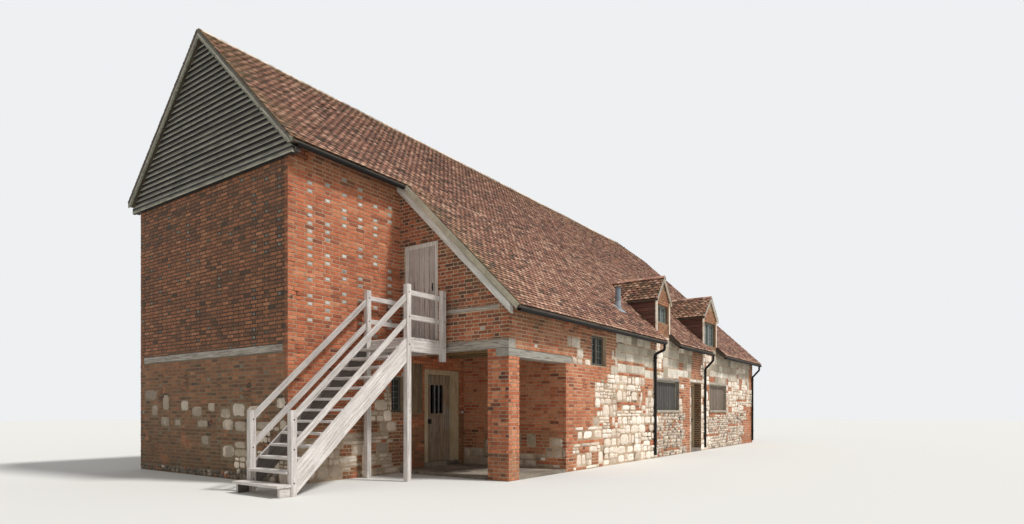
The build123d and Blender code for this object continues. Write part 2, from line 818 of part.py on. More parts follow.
def pintle(pin_x, pin_y, z, side, jamb_back):
    """Adds the eye and the pin that a jamb carries. side is +1 for a jamb on +X."""
    grip = LEAF_GAP / 2 - EYE_CLEAR
    arm_x = sorted((pin_x + side * grip, pin_x + side * EYE_ARM))
    upright(pin_x, pin_y, (z - EYE_H, z - HINGE_RUN), HINGE_EYE)
    bar(arm_x, (jamb_back, pin_y + HINGE_EYE / 2), (z - EYE_H, z - HINGE_RUN))
    upright(pin_x, pin_y, (z - EYE_H, z + HINGE_H), HINGE_PIN)


def knuckle(pin_x, pin_y, z, side, leaf_back):
    """Adds the strap and the knuckle that turn on a pin. side is +1 for a jamb on +X."""
    strap_x = sorted((pin_x, pin_x - side * STRAP_L))
    neck_x = sorted((pin_x, pin_x - side * HINGE_EYE))
    upright(pin_x, pin_y, (z, z + HINGE_H), HINGE_EYE)
    bar(strap_x, (leaf_back, leaf_back + STRAP_T), (z, z + HINGE_H))
    bar(neck_x, (leaf_back, pin_y), (z, z + HINGE_H))
    upright(pin_x, pin_y, (z, z + HINGE_H), HINGE_PIN + HINGE_RUN, Mode.SUBTRACT)


def hinge_heights(z):
    """Heights of the two hinges of a leaf."""
    return [z[0] + share * (z[1] - z[0]) for share in HINGE_Z]


# Porch door: it hangs on its east jamb and opens inwards
porch_jamb_y = (block_front + PORCH_JAMB_SET, block_front + PORCH_LEAF_SET + LEAF_T - LEAF_PROUD)
porch_leaf = (
    (porch_leaf_x[0], porch_leaf_x[1] - LEAF_GAP),
    (block_front + PORCH_LEAF_SET, block_front + PORCH_LEAF_SET + LEAF_T),
    (PORCH_DOOR_Z[0] + LEAF_GAP, PORCH_DOOR_Z[1] - LEAF_GAP),
)
porch_pin = (porch_leaf[0][1] + LEAF_GAP / 2, porch_leaf[1][1] + HINGE_OUT)
with BuildPart() as porch_door_frame:
    bar((porch_frame_x[0], porch_leaf_x[0] - LEAF_GAP), porch_jamb_y, (PORCH_DOOR_Z[0], porch_head_z))
    bar((porch_leaf_x[1], porch_frame_x[1]), porch_jamb_y, (PORCH_DOOR_Z[0], porch_head_z))
    bar((porch_leaf_x[0] - LEAF_GAP, porch_leaf_x[1]), porch_jamb_y, (PORCH_DOOR_Z[1], porch_head_z))
    for height in hinge_heights(porch_leaf[2]):
        pintle(*porch_pin, height, 1, porch_jamb_y[1])
save(porch_door_frame, "porch_door_frame")

grille_x = by_return(GRILLE_X)
with BuildPart() as porch_door:
    bar(*porch_leaf)
    slot = (grille_x[1] - grille_x[0] - 2 * GRILLE_BAR) / 3
    for number in range(3):
        slot_x = grille_x[0] + number * (slot + GRILLE_BAR)
        bar((slot_x, slot_x + slot), porch_leaf[1], GRILLE_Z, Mode.SUBTRACT)
    for height in hinge_heights(porch_leaf[2]):
        knuckle(*porch_pin, height, 1, porch_leaf[1][1])
save(porch_door, "porch_door")

# Front door: it hangs on its west jamb and opens inwards
front_leaf_x = span(FRONT_DOOR)
front_leaf = (
    (front_leaf_x[0] + LEAF_GAP, front_leaf_x[1] - LEAF_GAP),
    (front + FRONT_LEAF_SET, front + FRONT_LEAF_SET + LEAF_T),
    (FRONT_DOOR_Z[0] + LEAF_GAP, FRONT_DOOR_Z[1] - LEAF_GAP),
)
front_jamb_y = (front_leaf[1][1] - LEAF_PROUD - JAMB_DEPTH, front_leaf[1][1] - LEAF_PROUD)
front_pin = (front_leaf[0][0] - LEAF_GAP / 2, front_leaf[1][1] + HINGE_OUT)
with BuildPart() as front_door_frame:
    bar((door_gap[0], front_leaf_x[0]), front_jamb_y, (FRONT_DOOR_Z[0], door_head_z))
    bar((front_leaf_x[1], door_gap[1]), front_jamb_y, (FRONT_DOOR_Z[0], door_head_z))
    bar(front_leaf_x, front_jamb_y, (FRONT_DOOR_Z[1], door_head_z))
    for height in hinge_heights(front_leaf[2]):
        pintle(*front_pin, height, -1, front_jamb_y[1])
save(front_door_frame, "front_door_frame")

with BuildPart() as front_door:
    bar(*front_leaf)
    for height in hinge_heights(front_leaf[2]):
        knuckle(*front_pin, height, -1, front_leaf[1][1])
save(front_door, "front_door")

# Stone thresholds in both doorways
with BuildPart() as thresholds:
    bar(porch_frame_x, (block_front, block_front + WALL), (0, PORCH_DOOR_Z[0]))
    bar(door_gap, front_wall_y, (0, FRONT_DOOR_Z[0]))
save(thresholds, "thresholds")

# Upper door, which is fixed
upper_leaf_y = (block_front - UPPER_DOOR[1], block_front - UPPER_DOOR[0])
upper_frame_x = (return_x + UPPER_FRAME_SET, return_x + UPPER_FRAME_SET + FRAME_T)
with BuildPart() as upper_door_frame:
    bar(upper_frame_x, upper_frame_y, (UPPER_FLOOR_Z, upper_head_z))
    bar(upper_frame_x, upper_leaf_y, (UPPER_FLOOR_Z, upper_door_top_z), Mode.SUBTRACT)
save(upper_door_frame, "upper_door_frame")

with BuildPart() as upper_door:
    bar((upper_frame_x[0], upper_frame_x[0] + LEAF_T), upper_leaf_y, (UPPER_FLOOR_Z, upper_door_top_z))
save(upper_door, "upper_door")

# Gutters: half-round troughs under the tile edges


def trough(eaves_y, x):
    """Adds a gutter whose back rim meets the soffit."""
    rim_z = roof_top(eaves_y) - EAVES_EDGE
    centre_y = eaves_y + GUTTER_OUT
    with BuildSketch(Plane.YZ.offset(x[0])) as outline:
        with Locations((centre_y, rim_z)):
            Circle(GUTTER_R)
            Circle(GUTTER_R - GUTTER_T, mode=Mode.SUBTRACT)
        with Locations((centre_y, rim_z + GUTTER_R)):
            Rectangle(2 * GUTTER_R, 2 * GUTTER_R, mode=Mode.SUBTRACT)
    extrude(outline.sketch, amount=x[1] - x[0])


with BuildPart() as gutters:
    trough(upper_eaves_y, (west, return_x - RETURN_VERGE - GUTTER_R))
    for stretch in LOW_GUTTERS:
        trough(low_eaves_y, span(stretch))
save(gutters, "gutters")

# Downpipes, from under a gutter back to the wall and down, held by clips
gutter_bottom_z = roof_top(low_eaves_y) - EAVES_EDGE - GUTTER_R
pipe_wall_y = front - PIPE_R - PIPE_CLEAR
gutter_centre_y = low_eaves_y + GUTTER_OUT
with BuildPart() as downpipes:
    for place, neck_drop in PIPES:
        pipe_x = west + place
        pipe_elbow_z = gutter_bottom_z - neck_drop
        with BuildLine() as route:
            FilletPolyline(
                (pipe_x, gutter_centre_y, gutter_bottom_z),
                (pipe_x, gutter_centre_y, gutter_bottom_z - 2 * PIPE_BEND_R),
                (pipe_x, pipe_wall_y, pipe_elbow_z),
                (pipe_x, pipe_wall_y, PIPE_FOOT_Z),
                radius=PIPE_BEND_R,
            )
        with BuildSketch(Plane.XY.offset(gutter_bottom_z)) as bore:
            with Locations((pipe_x, gutter_centre_y)):
                Circle(PIPE_R)
        sweep(bore.sketch, path=route.line)
        for share in PIPE_CLIPS:
            clip_z = share * pipe_elbow_z
            bar(
                (pipe_x - PIPE_R - CLIP_EAR, pipe_x + PIPE_R + CLIP_EAR),
                (pipe_wall_y, front),
                (clip_z, clip_z + CLIP_H),
            )
save(downpipes, "downpipes")

# Flue with its cap and the lead slate it comes up through
flue_x = west + FLUE_X
flue_y = front + FLUE_OUT
slate_foot = flue_y - SLATE / 2 * cos(radians(PITCH))
slate_head = flue_y + SLATE / 2 * cos(radians(PITCH))
flue_top_z = roof_top(flue_y) + FLUE_RISE
with BuildPart() as flue_pipe:
    upright(flue_x, flue_y, (roof_under(flue_y), flue_top_z), FLUE_R)
    upright(flue_x, flue_y, (flue_top_z, flue_top_z + SLATE_T), FLUE_CAP_R)
    across(
        (
            (slate_foot, roof_top(slate_foot)),
            (slate_head, roof_top(slate_head)),
            (slate_head, roof_top(slate_head) + SLATE_T),
            (slate_foot, roof_top(slate_foot) + SLATE_T),
        ),
        (flue_x - SLATE / 2, flue_x + SLATE / 2),
    )
    across(
        (
            (low_eaves_y, 0),
            (ridge_y, 0),
            (ridge_y, ridge_top_z),
            (low_eaves_y, roof_top(low_eaves_y)),
        ),
        (flue_x - SLATE, flue_x + SLATE),
        Mode.SUBTRACT,
    )
save(flue_pipe, "flue_pipe")

# Outside stair
stair_outer = block_front - STAIR_OUTER_Y
stair_inner = block_front - STAIR_INNER_Y
outer_posts_y = (stair_outer, stair_outer + POST)
inner_posts_y = (stair_inner - POST, stair_inner)
head_post_x = (return_x - LANDING_LENGTH, return_x - LANDING_LENGTH + POST)
foot_post_x = (head_post_x[0] - FLIGHT_RUN - POST, head_post_x[0] - FLIGHT_RUN)
last_post_x = (return_x - LAST_POST_BACK, return_x - LAST_POST_BACK + POST)
post_top_z = landing_z + POST_ABOVE
with BuildPart() as stair_posts:
    for posts_y in (outer_posts_y, inner_posts_y):
        bar(foot_post_x, posts_y, (0, FOOT_POST_Z))
        bar(head_post_x, posts_y, (0, post_top_z))
    bar(last_post_x, (stair_outer - POST / 2, stair_outer + POST / 2), (LAST_POST_Z, post_top_z))
save(stair_posts, "stair_posts")

stringer_x = (foot_post_x[1], head_post_x[0])
outer_stringer_y = (stair_outer + STRINGER_SET, stair_outer + STRINGER_SET + STRINGER_T)
inner_stringer_y = (stair_inner - STRINGER_SET - STRINGER_T, stair_inner - STRINGER_SET)


def sloping(x, z_low, depth, y):
    """Adds a timber that climbs with the stair. z_low is its top edge at the lower end."""
    rise = (x[1] - x[0]) * stair_slope
    drop = depth * (1 + stair_slope ** 2) ** 0.5
    inward(
        (
            (x[0], max(z_low - drop, 0)),
            (x[1], z_low + rise - drop),
            (x[1], z_low + rise),
            (x[0], z_low),
        ),
        y,
    )


# A short bearer in front of each foot post holds the lowest tread.
bearer_x = (foot_post_x[0] - TREAD_DEPTH + BEARER_SET, foot_post_x[0])
with BuildPart() as stair_stringers:
    for stringer_y in (outer_stringer_y, inner_stringer_y):
        sloping(stringer_x, STRINGER_FOOT_Z, STRINGER_DEPTH, stringer_y)
        bar(bearer_x, stringer_y, (0, riser - TREAD_T))
save(stair_stringers, "stair_stringers")

# Treads fit between the stringers and round the posts. The lowest one lies on the bearers.
with BuildPart() as stair_treads:
    for number in range(2, RISERS):
        nosing_x = head_post_x[0] - (RISERS - number) * GOING
        tread_x = (nosing_x, nosing_x + TREAD_DEPTH)
        tread_z = number * riser
        tread_y = (outer_stringer_y[1], inner_stringer_y[0])
        bar(tread_x, tread_y, (tread_z - TREAD_T, tread_z))
    for posts_x in (foot_post_x, head_post_x):
        for posts_y in (outer_posts_y, inner_posts_y):
            bar(posts_x, posts_y, (0, landing_z), Mode.SUBTRACT)
    bar(
        (foot_post_x[0] - TREAD_DEPTH, foot_post_x[0]),
        (outer_posts_y[0], inner_posts_y[1]),
        (riser - TREAD_T, riser),
    )
save(stair_treads, "stair_treads")

# Landing: boards on two joists, with a deep fascia along the outer side
landing_x = (head_post_x[1], return_x)
landing_y = (stair_outer + POST / 2, inner_posts_y[1])
outer_fascia_y = (landing_y[0], landing_y[0] + STRINGER_T)
inner_fascia_y = (landing_y[1] - STRINGER_T, landing_y[1])
board_z = (landing_z - LANDING_BOARD, landing_z)
fascia_z = (landing_z - LANDING_FASCIA, landing_z - LANDING_BOARD)
with BuildPart() as stair_landing:
    bar(landing_x, landing_y, board_z)
    bar(landing_x, outer_fascia_y, fascia_z)
    bar(landing_x, inner_fascia_y, fascia_z)
    bar((landing_x[0], landing_x[0] + STRINGER_T), landing_y, fascia_z)
save(stair_landing, "stair_landing")

# Rails: two on each side of the flight and round the landing
with BuildPart() as stair_rails:
    for posts_y in (outer_posts_y, inner_posts_y):
        middle_y = sum(posts_y) / 2
        rail_y = (middle_y - RAIL_T / 2, middle_y + RAIL_T / 2)
        for rail_z in (RAIL_TOP, RAIL_MID):
            sloping(stringer_x, STRINGER_FOOT_Z + rail_z + RAIL_DEPTH / 2, RAIL_DEPTH, rail_y)
            level_z = (landing_z + rail_z, landing_z + rail_z + RAIL_DEPTH)
            end_x = last_post_x[0] if posts_y is outer_posts_y else return_x
            bar((head_post_x[1], end_x), rail_y, level_z)
save(stair_rails, "stair_rails")
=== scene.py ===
"""The farmhouse's looks: masonry, tiles, timber, glass and metal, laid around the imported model."""

import json
import logging
import math
import random
from dataclasses import dataclass, field, replace
from enum import Enum
from functools import cache
from typing import Callable, Iterable, NamedTuple, Sequence

import bmesh
import bpy
import numpy as np
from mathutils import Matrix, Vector, noise

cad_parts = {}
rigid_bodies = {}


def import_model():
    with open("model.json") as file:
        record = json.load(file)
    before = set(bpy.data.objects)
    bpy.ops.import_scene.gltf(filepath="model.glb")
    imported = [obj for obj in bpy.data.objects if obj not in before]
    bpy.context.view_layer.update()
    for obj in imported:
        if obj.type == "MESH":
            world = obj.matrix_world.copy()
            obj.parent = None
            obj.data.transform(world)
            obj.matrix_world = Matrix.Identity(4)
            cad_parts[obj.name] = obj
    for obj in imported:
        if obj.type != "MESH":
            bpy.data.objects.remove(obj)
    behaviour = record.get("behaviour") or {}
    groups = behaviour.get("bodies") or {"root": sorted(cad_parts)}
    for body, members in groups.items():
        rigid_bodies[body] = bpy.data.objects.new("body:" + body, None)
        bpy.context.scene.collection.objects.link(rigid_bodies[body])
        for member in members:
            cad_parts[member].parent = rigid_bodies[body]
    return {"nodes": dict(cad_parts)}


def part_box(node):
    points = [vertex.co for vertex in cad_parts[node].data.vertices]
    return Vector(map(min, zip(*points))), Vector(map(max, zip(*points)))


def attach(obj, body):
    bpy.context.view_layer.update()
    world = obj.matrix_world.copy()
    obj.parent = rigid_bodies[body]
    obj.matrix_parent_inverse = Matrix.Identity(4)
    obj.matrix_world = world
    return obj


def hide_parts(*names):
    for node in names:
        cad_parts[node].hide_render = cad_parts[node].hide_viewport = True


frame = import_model()

log = logging.getLogger("farmhouse")

Colour = tuple[int, int, int]
Stops = tuple[tuple[float, Colour], ...]
Span = tuple[float, float]
Quad = list[Vector]
Faces = Sequence[Sequence[int]]
Share = Callable[[float, float], float]         # a value for each place of a face
Material = bpy.types.Material
Socket = bpy.types.NodeSocket
Value = Socket | float                          # a number, or where it comes from
Tint = Socket | tuple[float, ...]               # a colour, or where it comes from

HOUSE = "house"
ROOF_PITCH = math.radians(44.0)
LAP_START = 0.09            # from the foot of the gable's boarding to its first lapped board
LAP_PITCH = 0.115           # from one lapped board to the next
FRONT = 0.0
WEST = -math.pi / 2
EAST = math.pi / 2
BACK = math.pi


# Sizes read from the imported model


@dataclass(frozen=True)
class Shell:
    """The main lines of the house, in metres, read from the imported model."""

    west: float
    east: float
    front: float
    block_front: float
    back: float
    return_x: float
    porch_side: float
    gable_top: float
    ridge_y: float
    ridge_z: float
    slope: float
    slab_drop: float

    @classmethod
    def read(cls) -> "Shell":
        """Reads the lines from the boxes of the nodes."""
        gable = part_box("gable_wall")
        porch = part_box("porch_floor")
        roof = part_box("roof_back")
        ridge_y = (gable[0].y + gable[1].y) / 2
        slope = math.tan(ROOF_PITCH)
        top_at_block = roof[1].z - abs(gable[0].y - ridge_y) * slope
        return cls(
            west=gable[0].x, east=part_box("far_gable_wall")[1].x, front=porch[0].y,
            block_front=gable[0].y, back=gable[1].y, return_x=porch[0].x, porch_side=porch[1].x,
            gable_top=gable[1].z, ridge_y=ridge_y, ridge_z=roof[1].z, slope=slope,
            slab_drop=top_at_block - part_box("return_wall")[1].z,
        )

    def roof_top(self, y: float) -> float:
        """Height of the slab's upper face at this place across the house."""
        return self.ridge_z - abs(y - self.ridge_y) * self.slope

    def roof_under(self, y: float) -> float:
        """Height of the slab's lower face at this place across the house."""
        return self.roof_top(y) - self.slab_drop


SHELL = Shell.read()


# Node trees


def paint(colour: Colour) -> tuple[float, float, float, float]:
    """Turns a screen colour into the linear colour that a shader takes.

    Args:
        colour: red, green and blue, 0 to 255.

    Returns:
        The linear colour, with its alpha.
    """
    linear = []
    for value in colour:
        share = value / 255
        linear.append(share / 12.92 if share <= 0.04045 else ((share + 0.055) / 1.055) ** 2.4)
    return (linear[0], linear[1], linear[2], 1.0)


class Graph:
    """A node tree that is written one node to a call."""

    def __init__(self, tree: bpy.types.NodeTree) -> None:
        """Takes the tree to write in."""
        self.tree = tree

    def add(self, kind: str, inputs: dict | None = None, **settings) -> bpy.types.Node:
        """Adds a node.

        Args:
            kind: the node's type.
            inputs: values or sockets to link from, by the input's name or number.
            settings: properties of the node.

        Returns:
            The node.
        """
        node = self.tree.nodes.new(kind)
        for name, value in settings.items():
            setattr(node, name, value)
        for place, value in (inputs or {}).items():
            if isinstance(value, Socket):
                self.tree.links.new(value, node.inputs[place])
            else:
                node.inputs[place].default_value = value
        return node

    def give(self, target: bpy.types.Node, outputs: dict[str | int, Socket]) -> None:
        """Links sockets to the inputs of a node that is already there."""
        for place, socket in outputs.items():
            self.tree.links.new(socket, target.inputs[place])

    def math(self, operation: str, one: Value, other: Value = 0.0) -> Socket:
        """Adds a Math node and gives its output."""
        return self.add("ShaderNodeMath", {0: one, 1: other}, operation=operation).outputs[0]

    def mix(self, share: Value, one: Tint, other: Tint, blend: str = "MIX") -> Socket:
        """Mixes two colours and gives the output."""
        inputs = {0: share, 6: one, 7: other}
        return self.add("ShaderNodeMix", inputs, data_type="RGBA", blend_type=blend).outputs[2]

    def ramp(self, value: Socket, stops: Stops) -> Socket:
        """Turns a value into a colour, through stops of place and colour.

        Args:
            value: the value, 0 to 1.
            stops: places and their colours, in order.

        Returns:
            The colour.
        """
        node = self.add("ShaderNodeValToRGB", {0: value})
        band = node.color_ramp.elements
        for element, (place, colour) in zip(band, (stops[0], stops[-1])):
            element.position = place
            element.color = paint(colour)
        for place, colour in stops[1:-1]:
            band.new(place).color = paint(colour)
        return node.outputs[0]

    def spread(self, value: Socket, source: Span, target: Span) -> Socket:
        """Maps a value from one range to another, held at its ends."""
        places = {0: value, 1: source[0], 2: source[1], 3: target[0], 4: target[1]}
        return self.add("ShaderNodeMapRange", places).outputs[0]

    def cloud(self, vector: Socket, scale: Value, detail: float, **more: float) -> Socket:
        """Gives noise over a vector."""
        inputs = {"Vector": vector, "Scale": scale, "Detail": detail, **more}
        return self.add("ShaderNodeTexNoise", inputs).outputs[0]

    def attribute(self, name: str, output: str = "Fac") -> Socket:
        """Reads an attribute of the mesh."""
        return self.add("ShaderNodeAttribute", attribute_name=name).outputs[output]

    def place(self) -> Socket:
        """Gives the object's own coordinates."""
        return self.add("ShaderNodeTexCoord").outputs["Object"]

    def part(self, vector: Socket, axis: int) -> Socket:
        """Gives one coordinate of a vector."""
        return self.add("ShaderNodeSeparateXYZ", {0: vector}).outputs[axis]

    def effect(self, group: bpy.types.NodeTree, vector: Socket, *values: float) -> list[Socket]:
        """Places a shared effect with its own values, and gives its outputs."""
        inputs = dict(enumerate((vector, *values)))
        return list(self.add("ShaderNodeGroup", inputs, node_tree=group).outputs)

    def shade(self, shader: bpy.types.Node, colour: Socket, height: Socket, rough: Span, bump: float,
              depth: float = 0.003) -> None:
        """Links colour, roughness and bump to a shader.

        Args:
            shader: the Principled shader.
            colour: the colour.
            height: the height, about 0 to 1.
            rough: roughness at height 1 and at height 0.
            bump: strength of the bump.
            depth: depth of the bump, in metres.
        """
        relief = self.add("ShaderNodeBump", {"Strength": bump, "Distance": depth, "Height": height})
        dull = self.spread(height, (0.3, 0.7), (rough[1], rough[0]))
        self.give(shader, {"Base Color": colour, "Roughness": dull, "Normal": relief.outputs[0]})


def effect_group(
    name: str, inputs: Sequence[str], outputs: Sequence[str]
) -> tuple[Graph, list[Socket], bpy.types.Node]:
    """Starts a shader node group with named sockets.

    Args:
        name: the group's name.
        inputs: names of the values that it takes after its vector.
        outputs: names of the values that it gives.

    Returns:
        The graph, its input sockets, vector first, and its output node.
    """
    tree = bpy.data.node_groups.new(name, "ShaderNodeTree")
    tree.interface.new_socket(name="Vector", in_out="INPUT", socket_type="NodeSocketVector")
    for way, labels in (("INPUT", inputs), ("OUTPUT", outputs)):
        for label in labels:
            tree.interface.new_socket(name=label, in_out=way, socket_type="NodeSocketFloat")
    graph = Graph(tree)
    start = graph.add("NodeGroupInput")
    return graph, list(start.outputs), graph.add("NodeGroupOutput")


class Effects:
    """The shader node groups that several finishes share."""

    def __init__(self) -> None:
        """Builds the groups."""
        self.speckle = self._speckle()
        self.patches = self._patches()
        self.grain = self._grain()

    @staticmethod
    def _speckle() -> bpy.types.NodeTree:
        """Fine and middling variation about 1, and a height for bump."""
        graph, take, end = effect_group("speckle", ("Scale", "Contrast"), ("Factor", "Height"))
        vector, scale, contrast = take[:3]
        fine = graph.cloud(vector, scale, 5.0)
        broad = graph.cloud(vector, graph.math("MULTIPLY", scale, 0.17), 3.0)
        swing = graph.math("SUBTRACT", graph.math("ADD", fine, broad), 1.0)
        change = graph.math("MULTIPLY", graph.math("MULTIPLY", swing, 3.0), contrast)
        graph.give(end, {"Factor": graph.math("ADD", change, 1.0), "Height": fine})
        return graph.tree

    @staticmethod
    def _patches() -> bpy.types.NodeTree:
        """A mask of soft-edged patches. Amount is the share that they cover."""
        graph, take, end = effect_group("patches", ("Scale", "Amount"), ("Mask",))
        vector, scale, amount = take[:3]
        edge = graph.math("SUBTRACT", 0.72, graph.math("MULTIPLY", amount, 0.45))
        over = graph.math("SUBTRACT", graph.cloud(vector, scale, 6.0, Roughness=0.62), edge)
        graph.give(end, {"Mask": graph.spread(over, (0.0, 0.09), (0.0, 1.0))})
        return graph.tree

    @staticmethod
    def _grain() -> bpy.types.NodeTree:
        """Wood grain along the vector's X: long fibres, and darker checks between them."""
        graph, take, end = effect_group("grain", ("Scale", "Checks"), ("Fibre", "Check", "Height"))
        vector, scale, checks = take[:3]
        stretched = graph.add(
            "ShaderNodeVectorMath", {0: vector, 1: (0.035, 1.0, 1.0)}, operation="MULTIPLY"
        ).outputs[0]
        fibre = graph.cloud(stretched, scale, 6.0, Roughness=0.6)
        split = graph.cloud(stretched, graph.math("MULTIPLY", scale, 0.45), 2.0, Distortion=0.4)
        narrow = graph.math("ABSOLUTE", graph.math("SUBTRACT", split, 0.5))
        check = graph.spread(narrow, (0.0, 0.03), (1.0, 0.0))
        height = graph.math("SUBTRACT", fibre, graph.math("MULTIPLY", check, 0.7))
        seen = graph.math("MULTIPLY", check, checks)
        graph.give(end, {"Fibre": fibre, "Check": seen, "Height": height})
        return graph.tree


EFFECTS = Effects()


def fresh_material(name: str) -> tuple[Material, Graph, bpy.types.Node]:
    """Makes an empty material with a Principled shader.

    Args:
        name: the material's name.

    Returns:
        The material, its graph and its shader.
    """
    material = bpy.data.materials.new(name)
    material.use_nodes = True
    material.node_tree.nodes.clear()
    graph = Graph(material.node_tree)
    shader = graph.add("ShaderNodeBsdfPrincipled")
    graph.add("ShaderNodeOutputMaterial", {"Surface": shader.outputs[0]})
    return material, graph, shader


# Finishes


@dataclass(frozen=True)
class UnitFinish:
    """Bricks, stones or tiles. Tone, kind, and staining together with painted shade, are attributes of each
    laid piece.
    """

    name: str
    tones: Stops
    odd: tuple[Colour, Colour]              # the other kind, such as glazed headers
    # colour of stains, and of the painted shade under the eaves that the stain attribute carries
    stain: Colour
    bloom: Colour                           # pale or lichened patches
    bloom_share: float = 0.2
    bloom_size: float = 6.0
    grit: float = 70.0
    contrast: float = 0.25
    rough: Span = (0.75, 0.95)
    bump: float = 0.35
    grime_and_shade: Colour = (58, 46, 36)            # grime and painted shade towards the joints
    # how strongly the grime and painted shade towards the joints shows
    joint: float = 0.6
    paleness: float = 0.75                  # how far a pale patch covers the unit's own colour
    stain_and_shade_strength: float = 0.65                 # and a stain, with the painted shade that it carries
    soil_and_shade_size: float = 2.3
    soil_and_shade_share: float = 0.75

    def build(self) -> Material:
        """Makes the material."""
        material, graph, shader = fresh_material(self.name)
        place = graph.place()
        tone = graph.attribute("tone")
        plain = graph.ramp(tone, self.tones)
        other = graph.ramp(tone, ((0.0, self.odd[0]), (1.0, self.odd[1])))
        colour = graph.mix(graph.attribute("kind"), plain, other)
        factor, height = graph.effect(EFFECTS.speckle, place, self.grit, self.contrast)
        colour = graph.mix(1.0, colour, factor, "MULTIPLY")
        bloom = graph.effect(EFFECTS.patches, place, self.bloom_size, self.bloom_share)[0]
        colour = graph.mix(graph.math("MULTIPLY", bloom, self.paleness), colour, paint(self.bloom))
        # painted shade, with grime, towards the joints, under each tile and where the next row covers it
        dirt_and_shade = graph.math("MULTIPLY", graph.attribute("edge"), self.joint)
        colour = graph.mix(dirt_and_shade, colour, paint(self.grime_and_shade))
        # stain patches; the stain attribute also carries painted shade under the eaves
        soil_and_shade = graph.effect(EFFECTS.patches, place, self.soil_and_shade_size, self.soil_and_shade_share)[0]
        stain_and_shade_share = graph.math("MULTIPLY", soil_and_shade, graph.attribute("stain"))
        colour = graph.mix(stain_and_shade_share, colour, graph.mix(self.stain_and_shade_strength, colour, paint(self.stain)))
        graph.shade(shader, colour, height, self.rough, self.bump)
        return material


class Grain(Enum):
    """Where the direction of the grain comes from: each timber's own, or one axis of the house."""

    OWN = "own"
    UPRIGHT = "upright"
    LEVEL = "level"


@dataclass(frozen=True)
class TimberFinish:
    """Sawn or hewn wood. The grain runs along X of the grain's vector."""

    name: str
    light: Colour
    dark: Colour
    weathered: Colour
    share: float = 0.5              # of the surface that is weathered
    checks: float = 0.45
    bump: float = 0.5
    grain: Grain = Grain.OWN
    laps: Span | None = None        # height of the first lap, and from one to the next
    inner: Span | None = None       # y from and to which it gets painted shade
    dirt_and_shade: Colour = (58, 46, 40)
    shadow: Colour = (14, 12, 10)   # under a lap

    def build(self) -> Material:
        """Makes the material."""
        material, graph, shader = fresh_material(self.name)
        fibre, check, height = graph.effect(EFFECTS.grain, self._direction(graph), 55.0, self.checks)
        colour = graph.ramp(fibre, ((0.32, self.dark), (0.66, self.light)))
        place = graph.place()
        patch = graph.effect(EFFECTS.patches, place, 2.2, self.share)[0]
        colour = graph.mix(patch, colour, graph.mix(0.7, colour, paint(self.weathered)))
        if self.grain is Grain.OWN:
            shade = graph.spread(graph.attribute("tone"), (0.0, 1.0), (0.72, 1.22))
            colour = graph.mix(1.0, colour, shade, "MULTIPLY")
        if self.laps:
            colour = self._paint_lap_light(graph, colour, place)
        # painted shade between the two y values, on a stringer's inner face
        if self.inner:
            depth = graph.part(place, 1)
            inside = graph.math("MULTIPLY", graph.math("GREATER_THAN", depth, self.inner[0]),
                                graph.math("LESS_THAN", depth, self.inner[1]))
            colour = graph.mix(graph.math("MULTIPLY", inside, 0.85), colour, paint(self.dirt_and_shade))
        colour = graph.mix(check, colour, paint(self.dark), "MULTIPLY")
        factor = graph.effect(EFFECTS.speckle, place, 25.0, 0.1)[0]
        colour = graph.mix(1.0, colour, factor, "MULTIPLY")
        graph.shade(shader, colour, height, (0.65, 0.85), self.bump, 0.004)
        return material

    def _paint_lap_light(self, graph: Graph, colour: Socket, place: Socket) -> Socket:
        """Paints light and shade on each board: a highlight on the lip, shade up the board, and shadow under
        the next lap and along the lip's lower edge.

        Args:
            graph: the material's graph.
            colour: the wood's colour.
            place: the object's own coordinates.

        Returns:
            The changed colour.
        """
        level = graph.math("SUBTRACT", graph.part(place, 2), self.laps[0])
        share = graph.math("FRACT", graph.math("DIVIDE", level, self.laps[1]))
        # painted highlight on the lip, painted shade up the board, painted shadow under the next lap and at
        # the lip's foot
        for source, target, tint in (
            ((0.14, 0.24), (0.9, 0.0), self.light), ((0.2, 0.4), (0.0, 0.4), self.dark),
            ((0.56, 0.64), (0.0, 0.97), self.shadow), ((0.03, 0.06), (0.96, 0.0), self.shadow),
        ):
            colour = graph.mix(graph.spread(share, source, target), colour, paint(tint))
        return colour

    def _direction(self, graph: Graph) -> Socket:
        """Gives the vector that the grain follows.

        Args:
            graph: the material's graph.

        Returns:
            The vector.
        """
        if self.grain is Grain.OWN:
            return graph.attribute("grain", "Vector")
        place = graph.place()
        if self.grain is Grain.LEVEL:
            return place
        parts = {0: graph.part(place, 2), 1: graph.part(place, 0), 2: graph.part(place, 1)}
        return graph.add("ShaderNodeCombineXYZ", parts).outputs[0]


